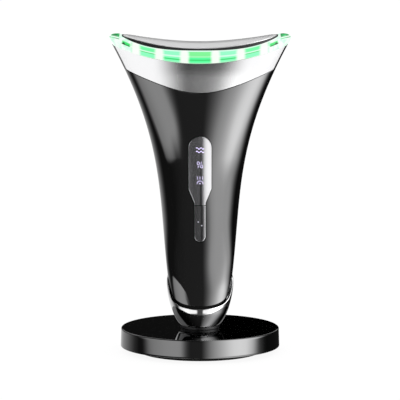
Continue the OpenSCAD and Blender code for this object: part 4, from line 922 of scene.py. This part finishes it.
def make_base():
    draft = math.tan(BASE_DRAFT)
    lean = (BASE_TOP - RIM_Z) * draft
    top_r = BASE_R - lean - BASE_EDGE
    roof, lip = BASE_TOP - BASE_WALL, 0.25
    profile = [(STEM_R + 0.1, roof), (BASE_R - BASE_WALL, roof), (BASE_R - BASE_WALL, RIM_Z)]
    profile += [(BASE_R - lip, RIM_Z)] + arc(BASE_R - lip, RIM_Z + lip, lip, -75, 0, 5)
    wall_h = BASE_TOP - BASE_EDGE - RIM_Z - lip
    profile += [(BASE_R - lean * k / 12, RIM_Z + lip + wall_h * k / 12) for k in range(1, 12)]
    profile += arc(top_r, BASE_TOP - BASE_EDGE, BASE_EDGE, 0, 90, 10)
    profile += [(top_r - (top_r - SEAT_R) * k / 24, BASE_TOP) for k in (0.1, *range(1, 25))]
    profile += [(STEM_R + 0.1, BASE_TOP)]
    shell = lathe("base_body", profile, steps=360)
    inlet_low, inlet_high = (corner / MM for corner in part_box("charge_inlet"))
    mid_z = (inlet_low.z + inlet_high.z) / 2 - BASE_TOP
    r = (inlet_high.z - inlet_low.z) / 2 + 0.1
    half = (inlet_high.x - inlet_low.x) / 2 + 0.1 - r
    turn = np.linspace(-math.pi / 2, math.pi / 2, 25)
    right = [(half + r * math.cos(a), mid_z + r * math.sin(a)) for a in turn]
    cut(shell, prism("inlet_hole", right + [(-x, z) for x, z in reversed(right)], inlet_low.y, BASE_R + 2), sharp=30)
    add_piece(shell, "base", "base_gloss", "base_shell")

    outer, inner = FOOT_R - FOOT_INSET, FOOT_R - FOOT_W
    foot = arc(outer - FOOT_BEND, FOOT_BEND, FOOT_BEND, -90, 0, 4) + [(outer, FOOT_TOP), (inner, FOOT_TOP)]
    foot += arc(inner + FOOT_BEND, FOOT_BEND, FOOT_BEND, 180, 270, 4)
    add_piece(lathe("foot_band", foot), "base", "foot_rubber", "foot_ring")


def make_seat():
    """Seat ring with its spigot, bored for the sleeves of the spring pins."""
    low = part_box("seat_ring")[0].z / MM - BASE_TOP
    profile = [(0.01, low), (STEM_R, low), (STEM_R, 0.02), (SEAT_R - 0.15, 0.02), (SEAT_R, 0.17)]
    profile += arc(SEAT_R - 0.35, SEAT_H - 0.375, 0.35, 0, 90, 6) + [(SPIGOT_R, SEAT_H - 0.025)]
    profile += arc(SPIGOT_R - 0.4, SPIGOT_H - 0.4, 0.4, 0, 90, 5) + [(0.01, SPIGOT_H)]
    seat = lathe("seat_body", profile, steps=192, raise_by=BASE_TOP)
    for side in (-1, 1):
        angle = full_circle(48)
        x, y = side * PIN_X + (SLEEVE_R + 0.025) * np.cos(angle), (SLEEVE_R + 0.025) * np.sin(angle)
        bore = [np.stack([x, y, np.full_like(x, z)], -1) for z in (BASE_TOP + low - 1, BASE_TOP + SPIGOT_H + 1)]
        cut(seat, mesh_object("bore", np.stack(bore, 1), grid_faces(48, 2, True, False)))
    add_piece(seat, "base", "seat_black", "seat_ring")


# ---- studio -------------------------------------------------------------------


def make_world():
    """White room as the camera sees it. Its mirror image is a dark room with tall lights beside the camera."""
    world = bpy.data.worlds.new("studio")
    bpy.context.scene.world = world
    world.use_nodes = True
    world.cycles.sampling_method = "NONE"
    g = Graph(world.node_tree)
    split = g.node("SeparateXYZ", {0: g.node("TexCoord").outputs["Generated"]})
    x, y, z = split.outputs
    azimuth = g.math("DEGREES", g.math("ARCTAN2", x, g.math("MULTIPLY", y, -1.0)))
    elevation = g.math("DEGREES", g.math("ARCSINE", z))
    level = g.step(elevation, -4.5, -3.0)
    around = g.math("MULTIPLY", azimuth, g.rest(g.math("MULTIPLY", level, 0.06)))
    border = g.levels(azimuth, -180, 180, [
        (-100, 26.0), (-80, 21.5), (-75, 19.0), (-70, 17.2), (-60, 15.4), (-50, 14.2), (-40, 13.2), (-32, 11.6),
        (-27, 10.9), (0, 6.5), (20, 10.5), (30, 10.8), (40, 11.4), (50, 11.6), (60, 13.2), (70, 16.3), (80, 18.8),
        (95, 23.0),
    ], 30.0)
    under = g.math("ADD", elevation, border)
    side = g.math("ABSOLUTE", azimuth)
    soft = g.math("ADD", g.math("MULTIPLY", g.math("MAXIMUM", g.math("SUBTRACT", side, 25.0), 0.0), 0.045), 0.7)
    low = g.math("MAXIMUM", g.step(g.math("DIVIDE", under, soft), 1.0, -1.0), level)
    left = g.levels(around, -180, 180, [
        (-110, 0.0), (-100, 0.03), (-95, 0.06), (-90, 0.15), (-85, 0.33), (-80, 0.56), (-75, 0.74), (-70, 0.79),
        (-60, 0.9), (-50, 1.0), (-40, 1.05), (-30, 1.04), (-27, 0.98), (-24.5, 0.75), (-22, 0.47), (-19.5, 0.24),
        (-17, 0.1), (-14, 0.03), (-11, 0.0),
    ], 2.0)
    left = g.product(left, low, g.step(elevation, 12.0, 5.0))
    early = g.product(g.step(elevation, -20.0, -10.5), g.rest(level), 13.0)
    wall = g.levels(around, -180, 180, [
        (0, 0.0), (2.5, 0.06), (5, 0.16), (7.5, 0.3), (10, 0.47), (12.5, 0.66), (15, 0.86), (17.5, 1.02),
        (20, 1.13), (25, 1.22), (30, 1.28),
    ], 2.0)
    turned = g.math("ADD", around, early)
    wall = g.math("MULTIPLY", wall, g.levels(turned, -180, 180, [
        (82, 1.0), (88, 0.89), (93, 0.72), (98, 0.53), (103, 0.33), (108, 0.17), (113, 0.085), (120, 0.015),
        (126, 0.0),
    ], 2.0))
    extra = g.levels(around, -180, 180, [
        (18, 0.0), (22, 0.14), (27, 0.38), (32, 0.68), (37, 1.05), (42, 1.4), (47, 1.64), (56, 1.8), (65, 1.7),
        (75, 1.22), (80, 0.95), (85, 0.68), (90, 0.42), (95, 0.2), (100, 0.05), (104, 0.0),
    ], 2.0)
    spread = g.math("MAXIMUM", g.step(under, 5.5, -5.5), level)
    right = g.math("ADD", wall, g.math("MULTIPLY", extra, spread))
    back = g.levels(around, -180, 180, [
        (-180, 0.75), (-160, 0.72), (-150, 0.62), (-140, 0.55), (-130, 0.42), (-120, 0.24), (-110, 0.08),
        (-100, 0.015), (175, 0.015), (180, 0.1),
    ], 2.0)
    back = g.math("MULTIPLY", back, g.step(elevation, 1.0, -1.0))
    dim = g.levels(azimuth, -180, 180, [(-60, 0.01), (-40, 0.03), (-25, 0.04), (15, 0.05), (25, 0.0)], 2.0)
    light = g.math("ADD", g.math("MAXIMUM", left, back), g.math("MAXIMUM", right, dim))
    past_limit = g.math("SUBTRACT", elevation, g.math("SUBTRACT", g.math("MULTIPLY", side, -0.105), 18.2))
    slot = g.product(g.step(side, 2.0, 6.0), g.step(side, 32.0, 24.0), g.step(elevation, -16.2, -16.9),
                     g.step(past_limit, -0.7, 0.5))
    light = g.math("MAXIMUM", light, slot)
    light = g.math("MULTIPLY", light, g.step(elevation, -58.0, -44.0))
    rear = g.math("MULTIPLY", g.step(side, 150.0, 168.0), g.step(elevation, 10.8, 12.4))
    overhead = g.math("MAXIMUM", g.step(azimuth, -5.0, 12.0), g.step(side, 140.0, 155.0))
    zenith = g.math("MULTIPLY", g.step(elevation, 34.0, 50.0), overhead)
    edge = g.product(g.step(azimuth, -108.0, -118.0), g.step(azimuth, -160.0, -150.0), g.step(elevation, 14.0, 19.0))
    high = g.math("MULTIPLY", g.math("MAXIMUM", g.math("MAXIMUM", rear, zenith), edge), 0.72)
    light = g.math("MAXIMUM", light, high)
    glossy = g.node("LightPath").outputs["Is Glossy Ray"]
    strength = g.math("ADD", g.math("MULTIPLY", light, glossy), g.rest(glossy))
    background = g.node("Background", {"Color": rgb(1, 1, 1), "Strength": strength})
    g.node("OutputWorld", {"Surface": background.outputs[0]})


def make_floor():
    """White table that keeps the object's soft shadow."""
    size = 3000.0
    points = [(-size, -size, 0), (size, -size, 0), (size, size, 0), (-size, size, 0)]
    floor = mesh_object("floor", points, [(0, 1, 2, 3)])
    made = bpy.data.materials.new("table")
    made.use_nodes = True
    g = Graph(made.node_tree)
    diffuse = g.node("BsdfDiffuse", {"Color": rgb(0.1, 0.1, 0.1)})
    glow = g.node("Emission", {"Color": rgb(1, 1, 1), "Strength": 0.92})
    both = g.node("AddShader", {0: diffuse.outputs[0], 1: glow.outputs[0]})
    g.node("OutputMaterial", {"Surface": both.outputs[0]})
    floor.data.materials.append(made)
    floor.visible_glossy = False


def make_camera():
    distance, look_down, target_z = 2470.0, math.radians(9.85), 64.8
    camera = bpy.data.objects.new("camera", bpy.data.cameras.new("camera"))
    bpy.context.scene.collection.objects.link(camera)
    camera.data.sensor_width = 36.0
    camera.data.lens = 447.0
    camera.data.clip_start, camera.data.clip_end = 0.1, 20.0
    target = Vector((0.0, 0.0, BASE_TOP + target_z)) * MM
    camera.location = Vector((0.0, -distance, BASE_TOP + distance * math.tan(look_down))) * MM
    camera.rotation_euler = (target - camera.location).to_track_quat("-Z", "Y").to_euler()
    bpy.context.scene.camera = camera


# ---- scene --------------------------------------------------------------------

bpy.context.scene.view_settings.view_transform = "Standard"

for node, obj in frame["nodes"].items():
    obj.data.materials.clear()
    obj.data.materials.append(MATERIALS[slot_of[node]])

make_grip()
make_gap_shade()
make_button()
make_symbols()
make_cap()
make_collar()
make_guide()
make_plate()
make_gasket()
make_base()
make_seat()
make_world()
make_floor()
make_camera()
